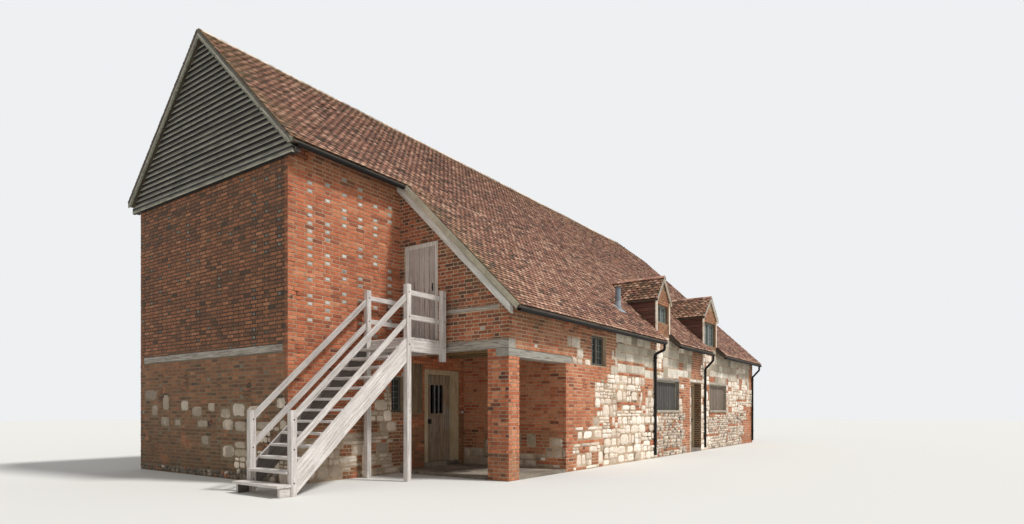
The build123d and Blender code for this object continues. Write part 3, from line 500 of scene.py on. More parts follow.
@dataclass(frozen=True)
class SurfaceFinish:
    """Mortar, plaster, paving, lead or painted iron, over the object's own coordinates."""

    name: str
    dark: Colour
    light: Colour
    patch: Colour
    patch_share: float = 0.3
    patch_size: float = 2.0
    grit: float = 60.0
    contrast: float = 0.2
    rough: Span = (0.8, 0.95)
    bump: float = 0.35
    low: Colour | None = None       # colour below the level at which the wall changes
    level: Span = (2.3, 2.7)
    end: Colour | None = None       # colour in front of a line across the house
    line: float = 0.0

    def build(self) -> Material:
        """Makes the material."""
        material, graph, shader = fresh_material(self.name)
        place = graph.place()
        colour = graph.ramp(graph.cloud(place, 1.5, 5.0), ((0.3, self.dark), (0.7, self.light)))
        if self.low:
            share = graph.spread(graph.part(place, 2), self.level, (0.8, 0.0))
            colour = graph.mix(share, colour, paint(self.low))
        if self.end:
            edge = (self.line + 0.004, self.line + 0.008)
            share = graph.spread(graph.part(place, 1), edge, (1.0, 0.0))
            colour = graph.mix(share, colour, paint(self.end))
        patch = graph.effect(EFFECTS.patches, place, self.patch_size, self.patch_share)[0]
        colour = graph.mix(patch, colour, paint(self.patch))
        factor, height = graph.effect(EFFECTS.speckle, place, self.grit, self.contrast)
        colour = graph.mix(1.0, colour, factor, "MULTIPLY")
        graph.shade(shader, colour, height, self.rough, self.bump)
        return material


@dataclass(frozen=True)
class GlassFinish:
    """Old window glass in a dark room: slightly green, with ripples, and paler above a height as a painted
    reflection of the sky.
    """

    name: str
    tint: Colour
    # paler colour above the height: painted reflection of the sky
    upper: Colour
    height: float
    transmission: float

    def build(self) -> Material:
        """Makes the material."""
        material, graph, shader = fresh_material(self.name)
        place = graph.place()
        ripple = graph.cloud(place, 14.0, 2.0)
        relief = graph.add("ShaderNodeBump", {"Strength": 0.12, "Distance": 0.01, "Height": ripple})
        above = graph.math("GREATER_THAN", graph.part(place, 2), self.height)
        tint = graph.mix(above, paint(self.tint), paint(self.upper))
        shade = graph.spread(graph.attribute("tone"), (0, 1), (0.5, 1.3))
        colour = graph.mix(1.0, tint, shade, "MULTIPLY")
        graph.give(shader, {"Base Color": colour, "Normal": relief.outputs[0]})
        for name, value in (("Roughness", 0.06), ("Transmission Weight", self.transmission), ("IOR", 1.5)):
            shader.inputs[name].default_value = value
        return material


def mortar(name: str, dark: Colour, light: Colour, patch: Colour, **more) -> SurfaceFinish:
    """Gives a mortar, from its two shades and the colour of its dirty patches."""
    return SurfaceFinish(name, dark, light, patch, grit=90.0, bump=0.6, **more)


class Look(Enum):
    """Every finish of the house."""

    BRICK = UnitFinish(
        "brick",
        ((0.0, (88, 54, 42)), (0.25, (134, 74, 50)), (0.5, (170, 92, 60)), (0.75, (190, 108, 70)),
         (1.0, (200, 130, 92))),
        ((122, 120, 120), (214, 210, 204)), (88, 80, 54), (186, 156, 126),
        bloom_share=0.12, contrast=0.3,
    )
    OLD_BRICK = UnitFinish(
        "old_brick",
        ((0.0, (66, 48, 36)), (0.25, (108, 70, 48)), (0.55, (148, 92, 60)), (1.0, (176, 120, 84))),
        ((84, 80, 72), (150, 146, 134)), (80, 74, 50), (146, 120, 92), contrast=0.35,
    )
    STONE = UnitFinish(
        "stone",
        ((0.0, (118, 104, 92)), (0.35, (176, 158, 138)), (0.7, (226, 208, 188)), (1.0, (250, 238, 222))),
        ((192, 176, 150), (172, 158, 134)), (88, 80, 62), (172, 158, 132),
        bloom_share=0.24, bloom_size=9.0, grit=45.0, contrast=0.2, bump=0.6, joint=0.5,
    )
    ASHLAR = UnitFinish(
        "ashlar",
        ((0.0, (120, 110, 94)), (0.35, (172, 159, 138)), (0.7, (212, 200, 180)), (1.0, (240, 231, 214))),
        ((190, 160, 120), (170, 140, 106)), (110, 102, 88), (158, 150, 132),
        bloom_share=0.3, bloom_size=7.0, grit=40.0, contrast=0.2, bump=0.4,
    )
    FLINT = UnitFinish(
        "flint",
        ((0.0, (98, 88, 80)), (0.35, (158, 142, 128)), (0.6, (210, 192, 174)), (1.0, (236, 224, 206))),
        ((170, 108, 80), (190, 134, 104)), (92, 86, 66), (222, 208, 190),
        bloom_share=0.25, bloom_size=20.0, grit=60.0, contrast=0.22, bump=0.5,
    )
    TILE = UnitFinish(
        "tile",
        ((0.0, (84, 54, 43)), (0.3, (144, 94, 76)), (0.6, (198, 133, 106)), (1.0, (250, 198, 166))),
        ((96, 70, 56), (124, 96, 76)), (112, 100, 58), (166, 140, 116),
        bloom_share=0.18, bloom_size=11.0, grit=55.0, contrast=0.28, grime_and_shade=(26, 18, 14), joint=1.0,
    )
    RIDGE = UnitFinish(
        "ridge_tile",
        ((0.0, (128, 84, 68)), (0.3, (186, 136, 114)), (0.6, (222, 198, 176)), (1.0, (244, 226, 206))),
        ((120, 112, 100), (150, 142, 128)), (140, 132, 96), (214, 204, 186), bloom_share=0.35,
    )

    LIME = mortar("lime_mortar", (150, 128, 104), (190, 168, 142), (122, 108, 84))
    BROWN_MORTAR = mortar("brown_mortar", (112, 88, 62), (164, 134, 98), (84, 72, 48))
    # dark above the level: weathered mortar, partly painted shade of its recessed joints
    GABLE_MORTAR = mortar("gable_mortar", (46, 36, 26), (78, 62, 46), (44, 38, 28),
                          low=(136, 116, 90), end=(166, 144, 118), line=SHELL.block_front)
    PORCH_MORTAR = mortar("porch_mortar", (104, 84, 62), (150, 124, 94), (84, 72, 52))
    FRONT_MORTAR = mortar("front_mortar", (150, 124, 98), (208, 182, 154), (100, 84, 64))
    VERGE = mortar("verge_mortar", (178, 164, 142), (210, 198, 178), (140, 128, 104))
    EDGING = mortar("dormer_edging", (234, 222, 202), (250, 242, 226), (206, 192, 168))
    MOSSY = mortar("mossy_mortar", (150, 144, 124), (204, 196, 174), (112, 106, 74))
    TORCHING = mortar("torching", (62, 53, 44), (92, 80, 66), (52, 46, 38))

    SILVER = TimberFinish(
        "silvered_boards", (176, 172, 154), (70, 66, 55), (110, 108, 92), 0.45, checks=0.6,
        # laps: painted shadow under each lap and a painted highlight on each lip
        laps=(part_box("gable_boarding")[0].z + LAP_START, LAP_PITCH),
    )
    GREY_TIMBER = TimberFinish(
        "grey_timber", (182, 174, 160), (108, 98, 86), (152, 148, 138), checks=0.7, bump=0.8)
    PALE_TIMBER = TimberFinish(
        "pale_timber", (204, 194, 180), (120, 110, 100), (174, 168, 156), checks=0.8, bump=0.8)
    GREEN_TIMBER = TimberFinish(
        "green_timber", (164, 164, 144), (92, 90, 74), (134, 140, 118), checks=0.9, bump=1.0)
    WHITE_TIMBER = TimberFinish(
        "white_timber", (240, 238, 230), (178, 174, 164), (220, 220, 210), 0.4)
    STAIR_OAK = TimberFinish(
        "stair_oak", (226, 220, 213), (166, 156, 149), (206, 200, 194), 0.4, checks=0.4, bump=0.35)
    # its inner faces get painted shade, between the stringers
    STRINGER_OAK = replace(STAIR_OAK, name="stringer_oak", inner=(-2.5865, -1.5535))
    DOOR_OAK = TimberFinish("door_boards", (168, 146, 120), (104, 86, 68), (150, 140, 126))
    HATCH_BOARDS = TimberFinish("hatch_boards", (150, 126, 98), (82, 64, 46), (126, 108, 86), 0.4)
    PALE_BOARDS = TimberFinish("pale_boards", (218, 208, 200), (138, 128, 120), (192, 184, 178))
    EAST_BOARDS = TimberFinish("east_boards", (146, 128, 110), (86, 72, 60), (124, 110, 96))
    # darker than the boards' own grey: painted shadow cast over the western boarded window
    GREY_BOARDS = TimberFinish("grey_boards", (90, 86, 80), (46, 43, 40), (74, 72, 68))
    WINDOW_WOOD = TimberFinish("window_wood", (110, 102, 92), (62, 56, 48), (94, 88, 78), 0.35)
    DORMER_WOOD = TimberFinish("dormer_wood", (140, 146, 138), (84, 90, 84), (118, 124, 116), 0.35)
    PALE_WOOD = TimberFinish("pale_wood", (206, 196, 178), (138, 126, 108), (172, 162, 144), 0.4)
    CHEEK_BOARDS = TimberFinish("cheek_boards", (126, 80, 62), (66, 44, 36), (98, 70, 58), 0.4)
    FLOOR_WOOD = TimberFinish("floor_boards", (158, 130, 88), (100, 78, 50), (132, 108, 76), 0.4)
    DOOR_FRAME = TimberFinish(
        "door_frame", (214, 192, 156), (150, 130, 100), (190, 174, 146), grain=Grain.UPRIGHT)
    DARK_LEAF = TimberFinish(
        "door_leaf", (70, 60, 52), (44, 38, 34), (60, 54, 48), grain=Grain.UPRIGHT)
    UPPER_FLOOR = TimberFinish(
        "upper_floor", (140, 112, 80), (92, 72, 50), (120, 98, 72), grain=Grain.LEVEL)

    IRON = SurfaceFinish(
        "black_iron", (10, 10, 10), (22, 20, 19), (52, 42, 34), 0.08, 7.0, contrast=0.25, bump=0.2)
    LEAD = SurfaceFinish(
        "lead", (122, 130, 136), (164, 170, 174), (190, 192, 190), 0.3, 8.0, rough=(0.45, 0.7), bump=0.2)
    FLUE = SurfaceFinish(
        "flue_metal", (96, 106, 116), (130, 140, 148), (84, 80, 74), 0.2, 9.0,
        rough=(0.35, 0.6), bump=0.15)
    PAVING = SurfaceFinish(
        "paving_stone", (104, 94, 82), (150, 138, 122), (84, 80, 64), 0.35, grit=50.0)
    GLASS = GlassFinish("window_glass", (84, 90, 84), (150, 160, 150), height=3.4, transmission=0.15)

    @cache
    def material(self) -> Material:
        """Gives the finish's material, built when it is first asked for."""
        return self.value.build()


# Meshes made one by one


def axis_frame(axis: Vector) -> tuple[Vector, Vector, Vector]:
    """Gives a unit axis with a level side direction and the direction up from both.

    Args:
        axis: the axis, of any length.

    Returns:
        The axis, the side direction and the direction up.
    """
    along = axis.normalized()
    helper = Vector((0, 0, 1)) if abs(along.z) < 0.9 else Vector((1, 0, 0))
    side = along.cross(helper).normalized()
    return along, side, side.cross(along).normalized()


def closed_volume(points: Sequence[Vector], faces: Faces) -> float:
    """Signed volume of a closed shape, to tell which way its faces point.

    Args:
        points: its corners.
        faces: its faces, as places in points.

    Returns:
        The volume, below zero where the faces point inwards.
    """
    total = 0.0
    for face in faces:
        first = points[face[0]]
        for one, other in zip(face[1:], face[2:]):
            total += first.dot(points[one].cross(points[other]))
    return total / 6


class Pile:
    """Closed shapes that are joined into one mesh, with a tone and a grain for each."""

    def __init__(self, seed: int) -> None:
        """Starts empty, with its own random draws."""
        self.points: list[Vector] = []
        self.faces: list[tuple[int, ...]] = []
        self.tones: list[float] = []
        self.grains: list[Vector] = []
        self.draw = random.Random(seed)

    def add(self, points: Sequence[Vector], faces: Faces,
            axis: Vector = Vector((1, 0, 0)), tone: float | None = None) -> None:
        """Adds one closed shape, turned outwards.

        Args:
            points: its corners.
            faces: its faces, as places in points.
            axis: the direction of its grain.
            tone: its shade from 0 to 1, or none for a random one.
        """
        middle = sum(points, Vector()) / len(points)
        local = [p - middle for p in points]
        if closed_volume(local, faces) < 0:
            faces = [tuple(reversed(face)) for face in faces]
        along, side, up = axis_frame(axis)
        start = Vector([self.draw.uniform(0, 9) for _ in range(3)])
        shade = self.draw.uniform(0.2, 0.8) if tone is None else tone
        base = len(self.points)
        for point, offset in zip(points, local):
            self.points.append(point)
            self.tones.append(shade)
            self.grains.append(start + Vector((offset.dot(along), offset.dot(side), offset.dot(up))))
        self.faces.extend(tuple(base + i for i in face) for face in faces)

    def timber(self, near: Quad, far: Quad, chamfer: float = 0.008, wear: float = 0.002,
               pitch: float = 0.3, tone: float | None = None) -> None:
        """Adds a timber between two four-cornered ends, with worn edges.

        Args:
            near: corners of one end, in order round it.
            far: corners of the other end, in the same order.
            chamfer: width of the worn edge.
            wear: how far the faces wander inwards.
            pitch: length of one station.
            tone: its shade, or none for a random one.
        """
        axis = sum(far, Vector()) / 4 - sum(near, Vector()) / 4
        stations = max(1, round(axis.length / pitch))
        points: list[Vector] = []
        for number in range(stations + 1):
            share = number / stations
            quad = [a.lerp(b, share) for a, b in zip(near, far)]
            middle = sum(quad, Vector()) / 4
            for i, corner in enumerate(quad):
                for neighbour in (quad[i - 1], quad[(i + 1) % 4]):
                    edge = neighbour - corner
                    step = min(chamfer, edge.length * 0.3)
                    point = corner + edge.normalized() * step
                    rub = (noise.noise(point * 3.1) + 1) / 2 * wear
                    points.append(point + (middle - point).normalized() * rub)
        faces: list[tuple[int, ...]] = []
        for number in range(stations):
            low = number * 8
            for i in range(8):
                j = (i + 1) % 8
                faces.append((low + i, low + j, low + 8 + j, low + 8 + i))
        faces.append(tuple(reversed(range(8))))
        faces.append(tuple(stations * 8 + i for i in range(8)))
        self.add(points, faces, axis, tone)

    def box(self, low: Sequence[float], high: Sequence[float], axis: int = 0, **worn) -> None:
        """Adds a level timber or board between two corners.

        Args:
            low: its lowest corner.
            high: its highest corner.
            axis: the axis of its grain, 0, 1 or 2.
            worn: chamfer, wear, pitch and tone, as for a timber.
        """
        one, other = [i for i in range(3) if i != axis]

        def section(place: float) -> Quad:
            """The four corners at this place along the axis."""
            quad = []
            for a, b in ((0, 0), (1, 0), (1, 1), (0, 1)):
                corner = Vector()
                corner[axis] = place
                corner[one] = (low, high)[a][one]
                corner[other] = (low, high)[b][other]
                quad.append(corner)
            return quad

        self.sweep(section, (low[axis], high[axis]), **worn)

    def sweep(self, section: Callable[[float], Quad], reach: Span, **worn) -> None:
        """Adds a timber between its sections at two places."""
        self.timber(section(reach[0]), section(reach[1]), **worn)

    def prism(self, outline: Sequence[Vector], reach: Vector, tone: float | None = None) -> None:
        """Adds a prism from a flat outline.

        Args:
            outline: its corners, in order.
            reach: how far and which way it is pushed.
            tone: its shade, or none for a random one.
        """
        count = len(outline)
        points = [p.copy() for p in outline] + [p + reach for p in outline]
        faces: list[tuple[int, ...]] = [(i, (i + 1) % count, count + (i + 1) % count, count + i)
                                        for i in range(count)]
        faces.append(tuple(reversed(range(count))))
        faces.append(tuple(range(count, 2 * count)))
        self.add(points, faces, reach, tone)

    def rod(self, start: Vector, end: Vector, radius: float, sides: int = 16) -> None:
        """Adds a round bar between two points.

        Args:
            start: middle of one end.
            end: middle of the other.
            radius: its radius.
            sides: number of its sides.
        """
        along, side, up = axis_frame(end - start)
        outline = [
            start + (side * math.cos(a) + up * math.sin(a)) * radius
            for a in (2 * math.pi * i / sides for i in range(sides))
        ]
        self.prism(outline, end - start)

    def ship(self, name: str, look: Look, slot: str, *replaced: str, body: str = HOUSE) -> None:
        """Joins the shapes into a finished piece.

        Args:
            name: the piece's name.
            look: its finish.
            slot: a name that is passed on to ship.
            replaced: the nodes that it stands for.
            body: the body that it moves with.
        """
        mesh = bpy.data.meshes.new(name)
        mesh.from_pydata([tuple(p) for p in self.points], [], self.faces)
        tone = mesh.attributes.new("tone", "FLOAT", "POINT")
        tone.data.foreach_set("value", self.tones)
        grain = mesh.attributes.new("grain", "FLOAT_VECTOR", "POINT")
        grain.data.foreach_set("vector", [value for g in self.grains for value in g])
        mesh.materials.append(look.material())
        mesh.validate()
        ship(in_scene(name, mesh), body, slot, *replaced)


def in_scene(name: str, mesh: bpy.types.Mesh) -> bpy.types.Object:
    """Puts a mesh in the scene as an object at the origin."""
    piece = bpy.data.objects.new(name, mesh)
    bpy.context.scene.collection.objects.link(piece)
    return piece


def ship(piece: bpy.types.Object, body: str, slot: str, *replaced: str) -> None:
    """Fixes a finished piece to its body and reports it.

    Args:
        piece: the piece, in place.
        body: the body that it moves with.
        slot: not used.
        replaced: the nodes that it stands for.
    """
    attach(piece, body)
    if replaced:
        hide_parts(*replaced)
    log.info("%s: %d faces, on %s", piece.name, len(piece.data.polygons), body)


def dress(look: Look, *nodes: str) -> None:
    """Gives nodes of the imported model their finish.

    Args:
        look: the finish.
        nodes: names of the nodes.
    """
    for node in nodes:
        materials = frame["nodes"][node].data.materials
        materials.clear()
        materials.append(look.material())
        log.info("%s: dressed in %s", node, look.value.name)


@dataclass
class Solid:
    """One separate solid of a node: its corners and its merged mesh."""

    corners: list[Vector]
    faces: list[tuple[int, ...]]

    @property
    def low(self) -> Vector:
        """Lowest corner of its box."""
        return Vector([min(c[i] for c in self.corners) for i in range(3)])

    @property
    def high(self) -> Vector:
        """Highest corner of its box."""
        return Vector([max(c[i] for c in self.corners) for i in range(3)])

    @property
    def axis(self) -> Vector:
        """Its longest way."""
        cloud = np.array([tuple(c) for c in self.corners])
        return Vector(np.linalg.svd(cloud - cloud.mean(0))[2][0])

    def ends(self) -> tuple[Quad, Quad]:
        """Splits eight corners into the two ends across its longest way, in matching order."""
        axis = self.axis
        order = sorted(self.corners, key=lambda c: c.dot(axis))
        along, side, up = axis_frame(axis)
        ends = []
        for group in (order[:4], order[4:]):
            middle = sum(group, Vector()) / 4
            ends.append(sorted(
                group, key=lambda c: math.atan2((c - middle).dot(up), (c - middle).dot(side))
            ))
        return ends[0], ends[1]


def solids(node: str) -> list[Solid]:
    """Reads the separate solids of a node from a merged copy of its mesh.

    Args:
        node: the node's name.

    Returns:
        The solids, from west to east.
    """
    work = bmesh.new()
    work.from_mesh(frame["nodes"][node].data)
    bmesh.ops.remove_doubles(work, verts=work.verts, dist=1e-5)
    bmesh.ops.dissolve_limit(work, angle_limit=math.radians(1), verts=work.verts, edges=work.edges)
    found: list[Solid] = []
    seen: set[int] = set()
    work.verts.ensure_lookup_table()
    for vertex in work.verts:
        if vertex.index in seen:
            continue
        group = []
        queue = [vertex]
        seen.add(vertex.index)
        while queue:
            current = queue.pop()
            group.append(current)
            for edge in current.link_edges:
                other = edge.other_vert(current)
                if other.index not in seen:
                    seen.add(other.index)
                    queue.append(other)
        place = {v.index: i for i, v in enumerate(group)}
        faces = {f.index: f for v in group for f in v.link_faces}.values()
        corners = [v.co.copy() for v in group]
        found.append(Solid(corners, [tuple(place[v.index] for v in f.verts) for f in faces]))
    work.free()
    return sorted(found, key=lambda s: (s.low.x, s.low.y, s.low.z))


def worn_copy(pile: Pile, solid: Solid, bevel: float = 0.004) -> None:
    """Adds a solid with its sharp edges taken off, for shapes that aren't plain timbers.

    Args:
        pile: where it goes.
        solid: the solid.
        bevel: width of the bevel.
    """
    work = bmesh.new()
    verts = [work.verts.new(c) for c in solid.corners]
    for face in solid.faces:
        work.faces.new([verts[i] for i in face])
    work.normal_update()
    sharp = [e for e in work.edges if len(e.link_faces) == 2 and e.calc_face_angle() > math.radians(35)]
    bmesh.ops.bevel(work, geom=sharp, offset=bevel, segments=1, affect="EDGES", clamp_overlap=True)
    work.verts.index_update()
    faces = [tuple(v.index for v in f.verts) for f in work.faces]
    pile.add([v.co.copy() for v in work.verts], faces, solid.axis)
    work.free()


def timbers(node: str, seed: int, look: Look, slot: str, chamfer: float, wear: float) -> None:
    """Replaces a node of timbers with worn ones of the same sizes.

    Args:
        node: the node's name.
        seed: seed of the shades.
        look: the finish.
        slot: the material slot.
        chamfer: width of the worn edges.
        wear: how far the faces wander inwards.
    """
    pile = Pile(seed)
    for solid in solids(node):
        if len(solid.corners) == 8:
            pile.timber(*solid.ends(), chamfer=chamfer, wear=wear)
        else:
            worn_copy(pile, solid, min(chamfer, 0.005))
    pile.ship(node + "_worn", look, slot, node)


# Laid pieces: points in courses, set with shapes by geometry nodes


class Shape(Enum):
    """The kinds of piece that are laid in courses."""

    BRICK = "brick"
    STONE = "stone"
    FLINT = "flint"
    TILE = "tile"
    STUD = "stud"


VARIANTS = 3


def _skin(work: bmesh.types.BMesh, loops: Sequence[Sequence[bmesh.types.BMVert]]) -> None:
    """Joins loops of corners into a closed shape.

    Args:
        work: the mesh in work.
        loops: rings of corners, from one end to the other.
    """
    work.faces.new(loops[0])
    for near, far in zip(loops, loops[1:]):
        for i, corner in enumerate(near):
            j = (i + 1) % len(near)
            work.faces.new((corner, near[j], far[j], far[i]))
    work.faces.new(loops[-1])


class Shapes:
    """The small meshes that are set on the points, a few of each kind."""

    HEAD_SHADE = 1.5         # painted shade of a tile, at its head, under the next row
    SIDE_SHADE = 0.62        # and painted shade at its sides

    def __init__(self) -> None:
        """Builds a collection of variants for each kind."""
        self.sets: dict[Shape, bpy.types.Collection] = {}
        makers = {
            Shape.BRICK: self._brick, Shape.STONE: self._stone, Shape.FLINT: self._flint,
            Shape.TILE: self._tile, Shape.STUD: self._stud,
        }
        for shape, maker in makers.items():
            group = bpy.data.collections.new("shapes_" + shape.value)
            for number in range(VARIANTS):
                mesh = bpy.data.meshes.new(f"{shape.value}_{number}")
                work = bmesh.new()
                maker(work, random.Random(100 + number))
                bmesh.ops.recalc_face_normals(work, faces=work.faces)
                edge = work.verts.layers.float.new("edge")
                for vertex in work.verts:
                    vertex[edge] = self._grime_and_shade(shape, vertex.co)
                work.to_mesh(mesh)
                work.free()
                group.objects.link(bpy.data.objects.new(mesh.name, mesh))
            self.sets[shape] = group

    @staticmethod
    def _grime_and_shade(shape: Shape, place: Vector) -> float:
        """Darkness at a point of a unit shape, most towards its joints: painted shade, with some soiling of
        the joints.

        Args:
            shape: the kind of shape.
            place: the point.

        Returns:
            The darkness, from 0.
        """
        if shape is not Shape.TILE:
            return 1.0 if place.y > -0.15 else 0.0
        if place.y > 0.5:
            return Shapes.HEAD_SHADE
        if abs(place.x) > 0.3:
            return Shapes.SIDE_SHADE
        # painted shade on a tile's lower face and along the foot of its tail
        return 0.0 if place.z > 0.5 else 1.0

    @staticmethod
    def _brick(work: bmesh.types.BMesh, draw: random.Random) -> None:
        """A block of unit size whose face, towards -Y, has worn edges.

        Args:
            work: the mesh in work.
            draw: its random draws.
        """
        rings = ((-0.5, 0.47, 0.43), (-0.38, 0.5, 0.5), (0.5, 0.5, 0.5))
        loops = []
        for depth, half_x, half_z in rings:
            loop = []
            for sx, sz in ((-1, -1), (1, -1), (1, 1), (-1, 1)):
                slack = 0.025 if depth < 0 else 0.0
                x = sx * (half_x - draw.uniform(0, slack))
                z = sz * (half_z - draw.uniform(0, 2 * slack))
                loop.append(work.verts.new((x, depth, z)))
            loops.append(loop)
        _skin(work, loops)

    @staticmethod
    def _stone(work: bmesh.types.BMesh, draw: random.Random) -> None:
        """A rough block of unit size, with an uneven face towards -Y.

        Args:
            work: the mesh in work.
            draw: its random draws.
        """
        cells = 4
        origin = Vector([draw.uniform(0, 50) for _ in range(3)])
        grid = []
        for row in range(cells + 1):
            line = []
            for column in range(cells + 1):
                x = column / cells - 0.5
                z = row / cells - 0.5
                edge = max(abs(x), abs(z)) > 0.49
                corner = abs(x) > 0.49 and abs(z) > 0.49
                lift = -0.5 + (0.26 if edge else 0.0) + (0.14 if corner else 0.0)
                bump = noise.noise(Vector((x, z, 0)) * 3 + origin)
                pull = 1 - (0.035 if corner else 0.0) - (abs(bump) * 0.05 if edge else 0.0)
                line.append(work.verts.new((x * pull, lift + 0.14 * bump, z * pull)))
            grid.append(line)
        for row in range(cells):
            for column in range(cells):
                work.faces.new((grid[row][column], grid[row][column + 1],
                                grid[row + 1][column + 1], grid[row + 1][column]))
        rim = [grid[0][c] for c in range(cells)] + [grid[r][cells] for r in range(cells)]
        rim += [grid[cells][c] for c in range(cells, 0, -1)] + [grid[r][0] for r in range(cells, 0, -1)]
        back = [work.verts.new((v.co.x, 0.5, v.co.z)) for v in rim]
        for i in range(len(rim)):
            j = (i + 1) % len(rim)
            work.faces.new((rim[j], rim[i], back[i], back[j]))
        work.faces.new(back)

    @staticmethod
    def _flint(work: bmesh.types.BMesh, draw: random.Random) -> None:
        """A lump of unit size.

        Args:
            work: the mesh in work.
            draw: its random draws.
        """
        bmesh.ops.create_icosphere(work, subdivisions=2, radius=0.5)
        origin = Vector([draw.uniform(0, 50) for _ in range(3)])
        for vertex in work.verts:
            vertex.co *= 1 + 0.35 * noise.noise(vertex.co * 3 + origin)

    @staticmethod
    def _tile(work: bmesh.types.BMesh, draw: random.Random) -> None:
        """A plain tile: X across, Y from its tail to its head, Z through it, with a slight camber.

        Args:
            work: the mesh in work.
            draw: its random draws.
        """
        top = []
        under = []
        for x, y in ((-0.5, 0), (0, 0), (0.5, 0), (0.5, 1), (-0.5, 1)):
            lift = draw.uniform(-0.15, 0.25) + (0.0 if x else 0.2) if y == 0 else 0.0
            slack = draw.uniform(0, 0.012)
            side = x - math.copysign(slack, x) if x else 0.0
            tail = y + (draw.uniform(-0.012, 0.012) if y == 0 else 0.0)
            top.append(work.verts.new((side, tail, 1 + lift)))
            under.append(work.verts.new((side, tail, lift)))
        work.faces.new(top)
        work.faces.new(list(reversed(under)))
        for i in range(5):
            j = (i + 1) % 5
            work.faces.new((top[j], top[i], under[i], under[j]))

    @staticmethod
    def _stud(work: bmesh.types.BMesh, draw: random.Random) -> None:
        """A domed head of unit width, towards -Y.

        Args:
            work: the mesh in work.
            draw: its random draws.
        """
        sides = 10
        turn = draw.uniform(0, 1)
        loops = []
        for depth, radius in ((0.0, 0.5), (-0.3, 0.42), (-0.5, 0.2)):
            loops.append([
                work.verts.new((radius * math.cos(turn + 2 * math.pi * i / sides), depth,
                                radius * math.sin(turn + 2 * math.pi * i / sides)))
                for i in range(sides)
            ])
        _skin(work, loops)

    def clear(self) -> None:
        """Deletes the small meshes once everything is laid."""
        for group in self.sets.values():
            for item in list(group.objects):
                bpy.data.objects.remove(item)
            bpy.data.collections.remove(group)


class LayingTree:
    """Geometry nodes that set one shape of a collection on each point, turned and sized by it."""

    INPUTS = (
        ("Geometry", "NodeSocketGeometry"), ("Shapes", "NodeSocketCollection"),
        ("Finish", "NodeSocketMaterial"), ("Unevenness", "NodeSocketFloat"),
        ("Shift", "NodeSocketFloat"), ("Seed", "NodeSocketInt"),
    )

    def __init__(self) -> None:
        """Builds the tree."""
        self.tree = bpy.data.node_groups.new("laying", "GeometryNodeTree")
        self.sockets: dict[str, str] = {}
        for name, kind in self.INPUTS:
            socket = self.tree.interface.new_socket(name=name, in_out="INPUT", socket_type=kind)
            self.sockets[name] = socket.identifier
        self.tree.interface.new_socket(name="Geometry", in_out="OUTPUT", socket_type="NodeSocketGeometry")
        graph = Graph(self.tree)
        take = {s.name: s for s in graph.add("NodeGroupInput").outputs}
        moved = graph.add(
            "GeometryNodeSetPosition",
            {"Geometry": take["Geometry"], "Offset": self._random(graph, take["Shift"], take["Seed"])},
        )
        turn = graph.add(
            "ShaderNodeVectorMath",
            {0: self._named(graph, "turn", "FLOAT_VECTOR"),
             1: self._random(graph, take["Unevenness"], take["Seed"])},
            operation="ADD",
        )
        rotation = graph.add("FunctionNodeEulerToRotation", {0: turn.outputs[0]})
        shapes = graph.add("GeometryNodeCollectionInfo", {
            "Collection": take["Shapes"], "Separate Children": True, "Reset Children": True,
        })
        placed = graph.add(
            "GeometryNodeInstanceOnPoints",
            {
                "Points": moved.outputs[0], "Instance": shapes.outputs[0], "Pick Instance": True,
                "Instance Index": self._named(graph, "variant", "INT"),
                "Rotation": rotation.outputs[0], "Scale": self._named(graph, "size", "FLOAT_VECTOR"),
            },
        )
        real = graph.add("GeometryNodeRealizeInstances", {"Geometry": placed.outputs[0]})
        coated = graph.add(
            "GeometryNodeSetMaterial", {"Geometry": real.outputs[0], "Material": take["Finish"]}
        )
        graph.add("NodeGroupOutput", {0: coated.outputs[0]})

    @staticmethod
    def _named(graph: Graph, name: str, kind: str) -> Socket:
        """Reads an attribute of the points."""
        node = graph.add("GeometryNodeInputNamedAttribute", {"Name": name}, data_type=kind)
        return next(s for s in node.outputs if s.enabled and s.name == "Attribute")

    @staticmethod
    def _random(graph: Graph, reach: Socket, seed: Socket) -> Socket:
        """Gives a random vector within reach of zero, each way."""
        inputs = {0: graph.math("MULTIPLY", reach, -1.0), 1: reach, "Seed": seed}
        return graph.add("FunctionNodeRandomValue", inputs, data_type="FLOAT_VECTOR").outputs[0]


SHAPES = Shapes()
LAYING = LayingTree()


